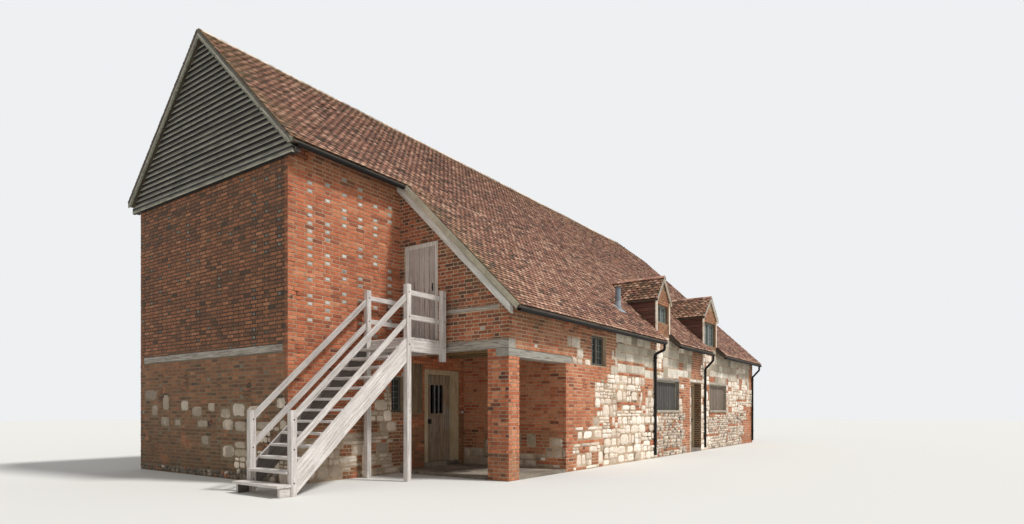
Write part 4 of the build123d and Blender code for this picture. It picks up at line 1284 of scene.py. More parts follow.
@dataclass
class Laid:
    """Points that wait to be set with shapes of one kind."""

    shape: Shape
    places: list[Vector] = field(default_factory=list)
    turns: list[Vector] = field(default_factory=list)
    sizes: list[Vector] = field(default_factory=list)
    tones: list[float] = field(default_factory=list)
    kinds: list[float] = field(default_factory=list)
    stains_and_shade: list[float] = field(default_factory=list)

    def put(self, place: Vector, turn: Vector, size: Vector, tone: float, kind: float = 0.0,
            stain: float = 0.0) -> None:
        """Adds one point.

        Args:
            place: the point.
            turn: the shape's turn about X, Y and Z.
            size: the shape's size.
            tone: its shade, held from 0 to 1.
            kind: 0 for the usual kind, 1 for the other.
            stain: how far it takes the staining colour, for stains, lichen and painted shade under the eaves.
        """
        self.places.append(place)
        self.turns.append(turn)
        self.sizes.append(size)
        self.tones.append(min(max(tone, 0.0), 1.0))
        self.kinds.append(kind)
        self.stains_and_shade.append(stain)

    def lay(self, name: str, look: Look, seed: int, unevenness: float,
            shift: float = 0.0012) -> bpy.types.Object:
        """Sets the shapes through the geometry nodes and keeps the plain mesh.

        Args:
            name: the piece's name.
            look: its finish.
            seed: seed of the small turns and shifts.
            unevenness: the most that a shape is turned, in radians.
            shift: the most that a shape is moved, in metres.

        Returns:
            The object, at the origin.
        """
        points = bpy.data.meshes.new(name + "_points")
        points.from_pydata([tuple(p) for p in self.places], [], [])
        for label, vectors in (("turn", self.turns), ("size", self.sizes)):
            layer = points.attributes.new(label, "FLOAT_VECTOR", "POINT")
            layer.data.foreach_set("vector", [value for v in vectors for value in v])
        for label, numbers in (("tone", self.tones), ("kind", self.kinds), ("stain", self.stains_and_shade)):
            layer = points.attributes.new(label, "FLOAT", "POINT")
            layer.data.foreach_set("value", numbers)
        pick = random.Random(seed)
        variant = points.attributes.new("variant", "INT", "POINT")
        variant.data.foreach_set("value", [pick.randrange(VARIANTS) for _ in self.places])
        source = in_scene(name + "_source", points)
        modifier = source.modifiers.new("laying", "NODES")
        modifier.node_group = LAYING.tree
        values = {
            "Shapes": SHAPES.sets[self.shape], "Finish": look.material(), "Unevenness": unevenness,
            "Shift": shift, "Seed": seed,
        }
        for label, value in values.items():
            modifier[LAYING.sockets[label]] = value
        graph = bpy.context.evaluated_depsgraph_get()
        mesh = bpy.data.meshes.new_from_object(source.evaluated_get(graph), depsgraph=graph)
        mesh.name = name
        source.modifiers.clear()
        bpy.data.objects.remove(source)
        bpy.data.meshes.remove(points)
        for label in ("turn", "size", "variant"):
            if label in mesh.attributes:
                mesh.attributes.remove(mesh.attributes[label])
        return in_scene(name, mesh)


# Walls


class Rect(NamedTuple):
    """A rectangle of a wall's face: along from and to, height from and to."""

    start: float
    end: float
    low: float
    high: float

    @property
    def reach(self) -> Span:
        """From and to, along the face."""
        return (self.start, self.end)

    @property
    def middle(self) -> float:
        """Its middle along the face."""
        return (self.start + self.end) / 2

    @property
    def level(self) -> float:
        """Height of its middle."""
        return (self.low + self.high) / 2

    @property
    def width(self) -> float:
        """Its size along the face."""
        return self.end - self.start

    @property
    def height(self) -> float:
        """Its size upwards."""
        return self.high - self.low


Place = tuple[float, float, float, float]       # the four values of a rectangle
Brick = tuple[float, float, bool]               # start, end and whether it is a header
SHORTEST_STRETCH = 0.02


class Bond(Enum):
    """How the bricks of a course run: lengths of one repeat, True for a header."""

    GARDEN = (False, False, False, True)
    FLEMISH = (False, True)
    HEADERS = (True,)


class Walling(Enum):
    """What a stretch of mixed walling is laid in."""

    BRICK = "brick"
    PATCHWORK = "patchwork"
    ASHLAR = "ashlar"
    RUBBLE = "rubble"


@dataclass
class Zone:
    """A part of a wall face and what it is laid in."""

    place: Place
    walling: Walling
    share: float = 1.0          # share of stones, where stone and brick mix
    tone: float = 0.6
    coat: float = 0.0           # stain


@dataclass
class Course:
    """Sizes of the brickwork, in metres."""

    height: float = 0.0752
    stretcher: float = 0.2309
    header: float = 0.1154
    joint: float = 0.011
    proud: float = 0.006
    depth: float = 0.03

    @property
    def slack(self) -> float:
        """How far an opening may reach into a course that runs past it."""
        return 0.3 * self.height


@dataclass
class Wall:
    """One face of a wall, laid in courses. Along is X turned by the face's direction."""

    face: float                                 # turn about Z, FRONT, WEST, EAST or BACK
    line: float                                 # where the face is, along its normal's axis
    reach: Span                                 # from and to, along the face
    foot: float = 0.0
    top: Callable[[float], float] = lambda along: 3.0
    gaps: list[Place] = field(default_factory=list)
    corners: tuple[float, ...] = ()             # places of the outer corners
    bond: Bond = Bond.GARDEN
    phase: float = 0.0
    tone: float = 0.5
    spread: float = 0.2
    glazed: Share = lambda along, z: 0.0
    soil_and_shade: Share = lambda along, z: 0.0
    zones: list[Zone] = field(default_factory=list)
    stones: list[tuple[Place, float]] = field(default_factory=list)
    soldiers: list[Place] = field(default_factory=list)
    course: Course = field(default_factory=Course)

    def __post_init__(self) -> None:
        """Gives its openings, its rows of bricks on end and its stones the names of their sides."""
        self.gaps = [Rect(*place) for place in self.gaps]
        self.soldiers = [Rect(*place) for place in self.soldiers]
        self.stones = [(Rect(*place), tone) for place, tone in self.stones]

    def at(self, along: float, z: float, out: float) -> Vector:
        """Turns a place on the face into a point.

        Args:
            along: place along the face.
            z: height.
            out: how far it stands from the face.

        Returns:
            The point.
        """
        cosine, sine = math.cos(self.face), math.sin(self.face)
        if abs(cosine) > 0.5:
            return Vector((along * cosine, self.line - out * cosine, z))
        return Vector((self.line + out * sine, along * sine, z))

    def clear(self, low: float, high: float) -> list[Span]:
        """Free stretches of the face between two heights.

        Args:
            low: lower height.
            high: upper height.

        Returns:
            The stretches, with their ends.
        """
        step = SHORTEST_STRETCH
        count = int((self.reach[1] - self.reach[0]) / step)
        stretches: list[Span] = []
        start: float | None = None
        for number in range(count + 1):
            along = self.reach[0] + (number + 0.5) * step
            inside = number < count and self.top(along) >= high - 0.25 * (high - low)
            if inside and start is None:
                start = self.reach[0] + number * step
            if not inside and start is not None:
                end = self.reach[0] + number * step
                stretches.append((start, self.reach[1] if number == count else end))
                start = None
        for gap in self.gaps + self.soldiers:
            if gap.low < high - self.course.slack and gap.high > low + self.course.slack:
                stretches = _without(stretches, gap.reach)
        return stretches

    def zone(self, along: float, z: float) -> Zone | None:
        """Finds the last zone that holds a place.

        Args:
            along: place along the face.
            z: height.

        Returns:
            The zone, or none.
        """
        found = None
        for zone in self.zones:
            start, end, low, high = zone.place
            if start <= along <= end and low <= z <= high:
                found = zone
        return found


def _without(stretches: Iterable[Span], cut: Span) -> list[Span]:
    """Takes a span out of a list of stretches.

    Args:
        stretches: the stretches.
        cut: the span.

    Returns:
        What is left, without slivers.
    """
    left: list[Span] = []
    for low, high in stretches:
        if cut[1] <= low or cut[0] >= high:
            left.append((low, high))
            continue
        for start, end in ((low, cut[0]), (cut[1], high)):
            if end - start > SHORTEST_STRETCH:
                left.append((start, end))
    return left


class Mason:
    """Lays wall faces: stones and rubble first, then brick round them."""

    THINNEST = 0.03                             # height of the thinnest cut course
    MIXED_TOP = 4.5                             # height where mixed walling ends
    BAND = (0.7, 1.9)                           # length of a band of stones
    STONE = (0.13, 0.55)                        # width of a stone
    SQUARED = (0.3, 0.52)                       # width of a squared block
    FLINT = (0.09, 0.2)                         # width of a flint
    FLINT_ROW = 0.1                             # height of a row of flints
    STONE_DEPTH = 0.07
    STONE_JOINT = (0.005, 0.014)
    BLOCK_DEPTH = 0.06
    BLOCK_JOINT = (0.004, 0.01)
    GROUND = 0.012                              # from the ground to the lowest stones
    SMOOTHER = 0.016                            # how far a coursed stone stands out at most
    ODD_STONES = 0.03                           # share of stones of the other colour
    ODD_FLINTS = 0.1                            # and of flints
    SMALL_STONES = 0.28                         # share of places that small stones fill
    NARROWEST = 0.05                            # width of the narrowest brick or stone
    RAGGED = 0.15                               # how far a band's end moves
    OVERLAP = 0.35                              # how far a band reaches over the last one
    LEFT_OUT = 0.06                             # share of courses between bands left to brick
    CUT_HEADER = 0.9                            # share of its width that a cut header needs
    DARK_SIZE = (0.82, 0.8)                     # width and height of a glazed header's face
    END_DEPTH = 0.1                             # of a brick beside an opening
    CORNER_REACH = 0.0035                       # of a brick past an outer corner

    def __init__(self, seed: int) -> None:
        """Starts with empty heaps and its own random draws."""
        self.draw = random.Random(seed)
        self.bricks = Laid(Shape.BRICK)
        self.stones = Laid(Shape.STONE)
        self.flints = Laid(Shape.FLINT)
        self.blocks = Laid(Shape.BRICK)

    def lay(self, wall: Wall) -> None:
        """Lays one face of a wall.

        Args:
            wall: the face.
        """
        taken: list[Rect] = []
        for rect, tone in wall.stones:
            self._stone(wall, rect, tone, wall.soil_and_shade(rect.middle, rect.low))
            taken.append(rect)
        if wall.zones:
            taken += self._mixed(wall, taken)
        for rect in wall.soldiers:
            self._soldiers(wall, rect)
        self._courses(wall, taken)

    def _stone(self, wall: Wall, rect: Rect, tone: float, stain: float, rough: float = 0.022) -> None:
        """Sets one stone in a rectangle of the face.

        Args:
            wall: the face.
            rect: the rectangle.
            tone: its shade.
            stain: its staining, with painted shade under the eaves.
            rough: how far it may stand out.
        """
        joint = self.draw.uniform(*self.STONE_JOINT)
        low = max(rect.low, self.GROUND)
        out = wall.course.proud + self.draw.uniform(0.0, rough) - self.STONE_DEPTH / 2
        place = wall.at(rect.middle, (low + rect.high) / 2, out)
        size = Vector((rect.width - joint, self.STONE_DEPTH, rect.high - low - joint))
        lean = rough * 2.2 if rect.low > 0.05 else 0.0
        turn = Vector((0, self.draw.uniform(-lean, lean), wall.face))
        kind = 1.0 if self.draw.random() < self.ODD_STONES else 0.0
        self.stones.put(place, turn, size, tone + self.draw.gauss(0, 0.16), kind, stain)

    def _block(self, wall: Wall, rect: Rect, tone: float, stain: float) -> None:
        """Sets one squared block with tight joints.

        Args:
            wall: the face.
            rect: the rectangle.
            tone: its shade.
            stain: its staining.
        """
        joint = self.draw.uniform(*self.BLOCK_JOINT)
        out = wall.course.proud + self.draw.uniform(-0.003, 0.002) - self.BLOCK_DEPTH / 2
        place = wall.at(rect.middle, rect.level, out)
        size = Vector((rect.width - joint, self.BLOCK_DEPTH, rect.height - joint))
        self.blocks.put(place, Vector((0, 0, wall.face)), size, tone + self.draw.gauss(0, 0.2), 0.0, stain)

    def _mixed(self, wall: Wall, taken: list[Rect]) -> list[Rect]:
        """Lays the stones of mixed walling in short bands of two to four courses.

        Args:
            wall: the face.
            taken: rectangles that hold stones already.

        Returns:
            The rectangles that are filled.
        """
        filled: list[Rect] = []
        height = wall.course.height
        edge = wall.reach[0]
        while edge < wall.reach[1]:
            far = edge + self.draw.uniform(*self.BAND)
            row = 0
            while row * height < self.MIXED_TOP:
                low = row * height
                zone = wall.zone((edge + far) / 2, low + height)
                squared = zone and zone.walling is Walling.ASHLAR
                rows = self.draw.choice((3, 4) if squared else (1, 2, 2, 3, 3, 4))
                high = low + rows * height
                row += rows + (1 if self.draw.random() < self.LEFT_OUT else 0)
                free = wall.clear(low, high)
                for rect in taken + filled:
                    if rect.low < high - 0.001 and rect.high > low + 0.001:
                        free = _without(free, rect.reach)
                end = far + self.draw.uniform(-self.RAGGED, self.RAGGED)
                for start, finish in free:
                    band = Rect(max(start, edge - self.OVERLAP), min(finish, end), low, high)
                    if band.width > 0.06:
                        filled += self._band(wall, band)
            edge = far
        return filled

    def _band(self, wall: Wall, band: Rect) -> list[Rect]:
        """Lays one stretch of a band, stone by stone.

        Args:
            wall: the face.
            band: the stretch.

        Returns:
            The rectangles that are filled.
        """
        start, end, low, high = band
        filled: list[Rect] = []
        along = start
        while end - along > self.NARROWEST:
            zone = wall.zone(along + 0.1, band.level)
            width = self.draw.uniform(*self.STONE)
            if zone and zone.walling is Walling.ASHLAR:
                width = self.draw.uniform(*self.SQUARED)
            width = min(width, end - along)
            if end - along - width < 0.09:
                width = end - along
            rect = Rect(along, along + width, low, high)
            along += width
            if zone is None or zone.walling is Walling.BRICK:
                continue
            if zone.walling is Walling.RUBBLE:
                self._rubble(wall, rect, zone)
                filled.append(rect)
            elif self.draw.random() < zone.share:
                if zone.walling is Walling.ASHLAR:
                    self._block(wall, rect, zone.tone, zone.coat)
                elif rect.height > 0.1 and self.draw.random() < self.SMALL_STONES:
                    self._small_stones(wall, rect, zone)
                else:
                    self._stone(wall, rect, zone.tone, zone.coat, self.SMOOTHER)
                filled.append(rect)
        return filled

    def _small_stones(self, wall: Wall, rect: Rect, zone: Zone) -> None:
        """Fills a rectangle with two layers of small stones.

        Args:
            wall: the face.
            rect: the rectangle.
            zone: the zone that it is in.
        """
        middle = rect.low + rect.height * self.draw.uniform(0.4, 0.6)
        for low, high in ((rect.low, middle), (middle, rect.high)):
            cut = rect.start + rect.width * self.draw.uniform(0.35, 0.65)
            for start, end in ((rect.start, cut), (cut, rect.end)):
                self._stone(wall, Rect(start, end, low, high), zone.tone, zone.coat)

    def _rubble(self, wall: Wall, rect: Rect, zone: Zone) -> None:
        """Fills a rectangle with flints and lumps of stone.

        Args:
            wall: the face.
            rect: the rectangle.
            zone: the zone that it is in.
        """
        rows = max(1, round(rect.height / self.FLINT_ROW))
        height = rect.height / rows
        for number in range(rows):
            along = rect.start
            while rect.end - along > 0.03:
                width = self.draw.uniform(*self.FLINT)
                if rect.end - along - width < self.NARROWEST:
                    width = rect.end - along
                z = rect.low + (number + 0.5) * height + self.draw.uniform(-0.01, 0.01)
                size = Vector((width, self.STONE_DEPTH, height * self.draw.uniform(0.85, 1.12)))
                z = max(z, size.z / 2 + 0.014)
                turn = Vector((0, self.draw.uniform(-0.3, 0.3), wall.face))
                tone = zone.tone + self.draw.gauss(0, 0.25)
                kind = 1.0 if self.draw.random() < self.ODD_FLINTS else 0.0
                self.flints.put(wall.at(along + width / 2, z, -0.008), turn, size, tone, kind, zone.coat)
                along += width

    def _soldiers(self, wall: Wall, rect: Rect) -> None:
        """Stands a row of bricks on end, as over an opening.

        Args:
            wall: the face.
            rect: the rectangle that they fill.
        """
        course = wall.course
        count = max(1, round(rect.width / course.height))
        pitch = rect.width / count
        for number in range(count):
            along = rect.start + (number + 0.5) * pitch
            place = wall.at(along, rect.level, course.proud - course.depth / 2)
            size = Vector((pitch - course.joint, course.depth, rect.height - course.joint))
            turn = Vector((0, self.draw.uniform(-0.01, 0.01), wall.face))
            tone = wall.tone + 0.2 + self.draw.gauss(0, wall.spread)
            self.bricks.put(place, turn, size, tone, 0.0, wall.soil_and_shade(rect.start, rect.low))

    def _courses(self, wall: Wall, taken: list[Rect]) -> None:
        """Lays the brick courses round what is there.

        Args:
            wall: the face.
            taken: rectangles that hold stones.
        """
        course = wall.course
        row = math.ceil(wall.foot / course.height - 0.3)
        step = (wall.reach[1] - wall.reach[0]) / 20
        highest = max(wall.top(wall.reach[0] + i * step) for i in range(21))
        if row * course.height - wall.foot > self.THINNEST:
            self._fill(wall, row - 1, (wall.foot, row * course.height), wall.reach, taken)
        while (row + 0.75) * course.height < highest:
            low, high = row * course.height, (row + 1) * course.height
            self._fill(wall, row, (low, high), wall.reach, taken)
            for gap in wall.gaps + wall.soldiers:
                if gap.low > high - course.slack or gap.high < low + course.slack:
                    continue
                for part in ((low, gap.low), (gap.high, high)):
                    if self.THINNEST < part[1] - part[0] < course.height:
                        self._fill(wall, row, part, gap.reach, taken)
            row += 1

    def _fill(self, wall: Wall, row: int, levels: Span, reach: Span, taken: list[Rect]) -> None:
        """Lays a course, or a cut one beside an opening, wherever the wall is free.

        Args:
            wall: the face.
            row: the number of the course.
            levels: its foot and top.
            reach: from and to, along the face.
            taken: rectangles that hold stones.
        """
        stretches = wall.clear(*levels)
        middle = sum(levels) / 2
        blocked = [rect.reach for rect in taken if rect.low < middle < rect.high]
        if reach != wall.reach:
            blocked += [(wall.reach[0] - 1.0, reach[0]), (reach[1], wall.reach[1] + 1.0)]
        for span in blocked:
            stretches = _without(stretches, span)
        for stretch in stretches:
            self._run(wall, row, levels, stretch)

    def _run(self, wall: Wall, row: int, levels: Span, stretch: Span) -> None:
        """Lays one stretch of one course.

        Args:
            wall: the face.
            row: the number of the course.
            levels: its foot and top.
            stretch: from and to, along the face.
        """
        course = wall.course
        low, high = stretch
        z = sum(levels) / 2
        for start, end, header in self._split(wall, row, low, high):
            outer_start = any(abs(start - corner) < 1e-4 for corner in wall.corners)
            outer_end = any(abs(end - corner) < 1e-4 for corner in wall.corners)
            begin = start - self.CORNER_REACH if outer_start else start + course.joint / 2
            finish = end + self.CORNER_REACH if outer_end else end - course.joint / 2
            beside_gap = abs(start - low) < 1e-6 or abs(end - high) < 1e-6
            depth = self.END_DEPTH if beside_gap else course.depth
            proud = course.proud + self.draw.uniform(-0.002, 0.0025)
            middle = (begin + finish) / 2
            kind = 1.0 if header and self.draw.random() < wall.glazed(middle, z) else 0.0
            drift = 0.12 * noise.noise(Vector((middle * 0.7, z * 0.9, wall.line)))
            tone = wall.tone + drift + self.draw.gauss(0, wall.spread)
            size = Vector((finish - begin, depth, levels[1] - levels[0] - course.joint))
            if kind:
                size = Vector((size.x * self.DARK_SIZE[0], size.y, size.z * self.DARK_SIZE[1]))
            place = wall.at(middle, z, proud - depth / 2)
            turn = Vector((0, 0, wall.face))
            self.bricks.put(place, turn, size, tone, kind, wall.soil_and_shade(middle, z))

    def _split(self, wall: Wall, row: int, low: float, high: float) -> list[Brick]:
        """Splits a stretch into bricks, by the bond.

        Args:
            wall: the face.
            row: the course's number, from the ground.
            low: where the stretch starts.
            high: where it ends.

        Returns:
            Start, end and whether it is a header, for each brick.
        """
        course = wall.course
        lengths = [course.header if header else course.stretcher for header in wall.bond.value]
        repeat = sum(lengths)
        offset = wall.phase + (row % 2) * repeat / 2
        if wall.bond is Bond.HEADERS:
            offset = wall.phase + (row % 2) * course.header / 2
        joints: list[Brick] = []
        begin = offset + math.floor((low - offset) / repeat - 1) * repeat + course.header / 2
        place = begin
        while place < high:
            for length, header in zip(lengths, wall.bond.value):
                joints.append((place, place + length, header))
                place += length
        bricks: list[Brick] = []
        for start, end, header in joints:
            start, end = max(start, low), min(end, high)
            if end - start <= 0.001:
                continue
            if bricks and min(end - start, bricks[-1][1] - bricks[-1][0]) < self.NARROWEST:
                bricks.append((bricks.pop()[0], end, False))
            else:
                bricks.append((start, end, header and end - start > self.CUT_HEADER * course.header))
        return bricks


@dataclass
class Masonry:
    """The brick, stone and flint faces of every wall."""

    stone_rows: tuple[tuple[Place, float], ...] = (
        ((4.86, 5.43, 1.60, 1.84), 0.55), ((4.31, 4.58, 1.35, 1.71), 0.6), ((4.80, 5.11, 1.22, 1.50), 0.5),
        ((4.28, 4.66, 1.01, 1.22), 0.55), ((3.76, 4.09, 0.99, 1.20), 0.6), ((3.48, 3.79, 1.34, 1.58), 0.7),
        ((2.94, 3.32, 1.23, 1.44), 0.65), ((2.44, 2.68, 1.33, 1.52), 0.6), ((2.66, 3.13, 0.99, 1.17), 0.6),
        ((1.86, 2.25, 1.19, 1.41), 0.7), ((1.31, 1.84, 1.19, 1.53), 0.75), ((1.77, 2.15, 0.96, 1.18), 0.6),
        ((1.30, 1.72, 0.93, 1.16), 0.6), ((2.61, 2.97, 0.61, 0.86), 0.55), ((1.72, 2.20, 0.40, 0.68), 0.6),
        ((0.03, 0.36, 1.38, 1.60), 0.7), ((0.56, 0.95, 1.00, 1.15), 0.6), ((0.82, 1.28, 1.20, 1.45), 0.65),
    )
    storeys: tuple[Span, Span] = ((1.3, 2.3), (3.9, 4.8))       # sill and head of the back windows
    back_windows: tuple[float, ...] = (-7.815, -2.605, 2.605, 7.815)

    def build(self) -> None:
        """Lays every face and dresses the walls behind as mortar."""
        for seed, (name, walls, look, slot) in enumerate((
            ("gable", [self._gable()], Look.OLD_BRICK, "brick"),
            ("block_front", [self._block_front()], Look.BRICK, "brick"),
            ("return", [self._return(), *self._porch_inside()], Look.BRICK, "brick"),
            ("front", [self._front(), *self._door_reveals()], Look.BRICK, "mixed_walling"),
            ("far_gable", [self._far_gable()], Look.OLD_BRICK, "brick"),
            ("back", [self._back()], Look.OLD_BRICK, "brick"),
        ), start=11):
            self._face(name, walls, look, slot, seed)
        dress(Look.GABLE_MORTAR, "gable_wall")
        dress(Look.BROWN_MORTAR, "back_wall", "far_gable_wall")
        dress(Look.PORCH_MORTAR, "porch_back_walls", "porch_door_over_wall", "dormer_walls")
        dress(Look.LIME, "block_wall", "porch_pier", "porch_front_wall", "front_door_lintel",
              "return_wall", "porch_side_wall")
        dress(Look.FRONT_MORTAR, "front_wall_west", "front_door_over_wall", "front_wall_east")

    @staticmethod
    def _face(name: str, walls: Sequence[Wall], brick: Look, slot: str, seed: int) -> None:
        """Lays some faces and makes one piece of each kind of stone.

        Args:
            name: start of the pieces' names.
            walls: the faces.
            brick: finish of the bricks.
            slot: the material slot.
            seed: seed of the random draws.
        """
        mason = Mason(seed)
        for wall in walls:
            mason.lay(wall)
        for laid, look, label, uneven in (
            (mason.bricks, brick, "bricks", 0.008), (mason.stones, Look.STONE, "stones", 0.012),
            (mason.flints, Look.FLINT, "flints", 0.2), (mason.blocks, Look.ASHLAR, "ashlar", 0.004),
        ):
            if laid.places:
                ship(laid.lay(f"{name}_{label}", look, seed, uneven), HOUSE, slot)

    def _gable(self) -> Wall:
        """The near gable, brown brick with dark headers and a stony foot."""
        s = SHELL
        start = -s.block_front
        stones = [((start - far, start - near, low, high), tone - 0.1)
                  for (near, far, low, high), tone in self.stone_rows]
        return Wall(
            WEST, s.west, (-s.back, -s.block_front), top=lambda a: s.gable_top,
            gaps=[(-4.104, 1.201, 2.43, 2.58)], corners=(-s.back, -s.block_front), phase=0.3,
            tone=0.46, spread=0.18, glazed=lambda a, z: 0.55 if a > 0.3 and z > 4.3 else 0.2,
            course=Course(joint=0.018, proud=0.004),
            soil_and_shade=lambda a, z: 1.0 - 0.3 * z if z < 2.6 else 0.2,
            zones=[
                Zone((-4.3, 1.4, 0.0, 0.12), Walling.RUBBLE, tone=0.15, coat=0.7),
                Zone((-0.6, 1.4, 0.12, 1.15), Walling.PATCHWORK, 0.6, 0.6, 0.3),
            ],
            stones=stones,
        )

    def _block_front(self) -> Wall:
        """The block's front and the wall at the back of the porch, which are one face."""
        s = SHELL
        high = s.roof_under(s.block_front)

        def top(along: float) -> float:
            """Under the eaves, then under the upper floor."""
            if along < s.return_x:
                return high
            return 2.56 if along < s.return_x + 0.22 else 2.68

        def glazed(along: float, z: float) -> float:
            """Share of glazed headers, most of them between the window and the eaves."""
            if along > s.return_x:
                return 0.1
            return 0.66 if 2.9 < z < 5.7 else 0.12

        return Wall(
            FRONT, s.block_front, (s.west, s.porch_side), top=top,
            gaps=[(-7.88, -7.52, 1.32, 2.08), (-7.28, -6.92, 1.30, 2.42), (-6.85, -5.64, 0.0, 2.30)],
            corners=(s.west,), phase=-9.95, tone=0.62, spread=0.18, glazed=glazed,
            # soiling at the foot; above 5.8, under the eaves, painted shade
            soil_and_shade=lambda a, z: 0.9 if z < 1.3 else (0.6 if z > 5.8 else 0.05),
            zones=[
                Zone((-10.42, -7.9, 0.0, 0.9), Walling.PATCHWORK, 0.8, 0.5, 0.3),
                Zone((-8.4, -7.9, 0.9, 1.95), Walling.PATCHWORK, 0.7, 0.5, 0.1),
                Zone((-7.6, -6.85, 0.0, 0.7), Walling.PATCHWORK, 0.5, 0.3, 0.4),
            ],
        )

    def _return(self) -> Wall:
        """The wall that comes forward over the porch, with the upper door."""
        s = SHELL
        return Wall(
            WEST, s.return_x, (-s.block_front, -s.front), foot=2.74, top=lambda a: s.roof_under(-a),
            gaps=[(1.496, 2.456, 2.83, 4.905), (2.681, 4.041, 3.33, 3.41)], corners=(-s.front,),
            bond=Bond.FLEMISH, tone=0.31, spread=0.24, glazed=lambda a, z: 0.02,
            soil_and_shade=lambda a, z: 0.7 if z > s.roof_under(-a) - 0.5 else 0.25,
            course=Course(joint=0.016),
        )

    def _porch_inside(self) -> list[Wall]:
        """The porch's side wall and the four faces of its pier."""
        s = SHELL
        west, east = s.return_x, s.return_x + 0.348
        south, north = s.front, s.front + 0.499
        side = Wall(
            WEST, s.porch_side, (-s.block_front, -s.front), top=lambda a: 2.56 if a > 3.96 else 2.68,
            gaps=[(3.964, 4.264, 2.39, 2.56)], corners=(-s.front,), phase=0.1, tone=0.98, spread=0.3,
            soil_and_shade=lambda a, z: 0.6 if z < 0.9 else 0.1,
            zones=[Zone((1.3, 4.3, 0.0, 0.75), Walling.PATCHWORK, 0.6, 0.55, 0.4)],
        )
        behind = -(south + 0.3)
        ends = (
            (FRONT, south, (west, east), lambda a: 2.39),
            (EAST, east, (south, north), lambda a: 2.56 if a > -behind else 2.39),
            (BACK, north, (-east, -west), lambda a: 2.56),
            (WEST, west, (-north, -south), lambda a: 2.56 if a < behind else 2.39),
        )
        # the pier's west face takes a lower tone than its other faces: painted shade
        pier = [
            Wall(
                face, line, reach, top=top, corners=reach, bond=Bond.FLEMISH, phase=0.05 * n,
                tone=0.5 if face == WEST else 0.9, spread=0.26, soil_and_shade=lambda a, z: 0.5 if z < 0.5 else 0.0,
                course=Course(joint=0.014),
            )
            for n, (face, line, reach, top) in enumerate(ends)
        ]
        return [side, *pier]

    def _front(self) -> Wall:
        """The long low front, from the porch to the far gable, with the dormer fronts over it."""
        s = SHELL
        eaves = s.roof_under(s.front)

        def top(along: float) -> float:
            """Under the eaves, or under a dormer's roof."""
            for dormer in DORMERS:
                across = abs(along - dormer.middle)
                if across < dormer.width / 2:
                    return dormer.under(across)
            return eaves

        gaps = [
            (-7.624, -5.456, 0.0, 2.56), (-5.456, -5.19, 2.39, 2.56), (-7.624, -7.404, 2.56, 2.74),
            (-4.27, -3.5, 2.43, 3.15), (-0.31, 1.53, 1.30, 2.26), (2.63, 3.66, 0.0, 2.28),
            (4.53, 6.57, 1.30, 2.30),
        ]
        gaps += [dormer.window for dormer in DORMERS]

        def soil_and_shade(along: float, z: float) -> float:
            """Painted shade under the eaves, and soiling at the foot."""
            if z > 2.4:
                return min(0.35 + 0.5 * (z - 2.4), 0.85)
            return 0.55 if z < 0.4 else (0.3 if along > 1.5 else 0.1)

        return Wall(
            FRONT, s.front, (s.return_x, s.east), top=top, gaps=gaps,
            corners=(s.return_x, s.porch_side, s.east), phase=0.2, tone=0.78, spread=0.26,
            course=Course(joint=0.015), glazed=lambda a, z: 0.01, soil_and_shade=soil_and_shade,
            stones=[
                ((-5.40, -5.24, 2.77, 3.00), 0.6), ((-5.22, -4.82, 2.77, 3.00), 0.7),
                ((-4.97, -4.68, 2.54, 2.77), 0.65), ((-5.17, -4.98, 2.39, 2.54), 0.6),
                ((-4.95, -4.72, 2.39, 2.52), 0.45), ((-4.60, -4.29, 2.39, 2.54), 0.7),
                *(((2.53, 2.63, 0.3 * n + 0.02, 0.3 * n + 0.3), 1.0) for n in range(7)),
                *(((2.5 + 0.32 * n, 2.82 + 0.32 * n, 2.285, 2.38), 0.8) for n in range(4)),
            ],
            zones=[
                *(Zone((start, -0.42, low, high), Walling.PATCHWORK, 0.9, 0.8, 0.05) for start, low, high in (
                    (-5.3, 0.0, 0.95), (-4.2, 0.95, 1.4), (-4.5, 1.4, 1.7), (-4.1, 1.7, 2.1))),
                Zone((-3.4, -0.42, 2.1, 2.34), Walling.PATCHWORK, 0.8, 0.85, 0.1),
                Zone((-1.9, -0.6, 1.5, 2.1), Walling.PATCHWORK, 0.6, 0.85, 0.1),
                Zone((-3.2, 2.7, 2.34, 2.8), Walling.ASHLAR, 0.97, 0.66, 0.3),
                Zone((-2.9, 2.7, 2.8, 3.5), Walling.ASHLAR, 0.96, 0.6, 0.4),
                Zone((-0.42, 1.88, 0.0, 1.25), Walling.RUBBLE, tone=0.62, coat=0.2),
                Zone((-0.42, 1.88, 1.25, 2.35), Walling.PATCHWORK, 0.8, 0.7, 0.2),
                Zone((-0.42, -0.05, 1.3, 3.4), Walling.PATCHWORK, 0.95, 0.95),
                Zone((3.68, 4.48, 0.0, 3.5), Walling.PATCHWORK, 0.95, 0.92),
                Zone((4.48, 9.6, 0.0, 1.25), Walling.RUBBLE, tone=0.7, coat=0.15),
                Zone((6.58, 10.42, 1.25, 2.4), Walling.PATCHWORK, 0.92, 0.85, 0.1),
                Zone((4.48, 9.8, 2.4, 3.5), Walling.ASHLAR, 0.97, 0.6, 0.4),
                Zone((8.7, 10.42, 0.0, 1.0), Walling.BRICK),
                Zone((9.4, 10.42, 1.0, 1.45), Walling.BRICK),
            ],
        )

    def _door_reveals(self) -> list[Wall]:
        """Both sides of the deep front doorway."""
        front, back = SHELL.front, -4.028
        # their lowest tone and full soiling make them dark: partly the brick's own colour, partly painted
        # shade of the deep doorway
        return [
            Wall(face, line, reach, foot=0.1, top=lambda a: 2.28, bond=Bond.HEADERS, tone=0.15,
                 soil_and_shade=lambda a, z: 1.0)
            for face, line, reach in ((EAST, 2.63, (front, back)), (WEST, 3.66, (-back, -front)))
        ]

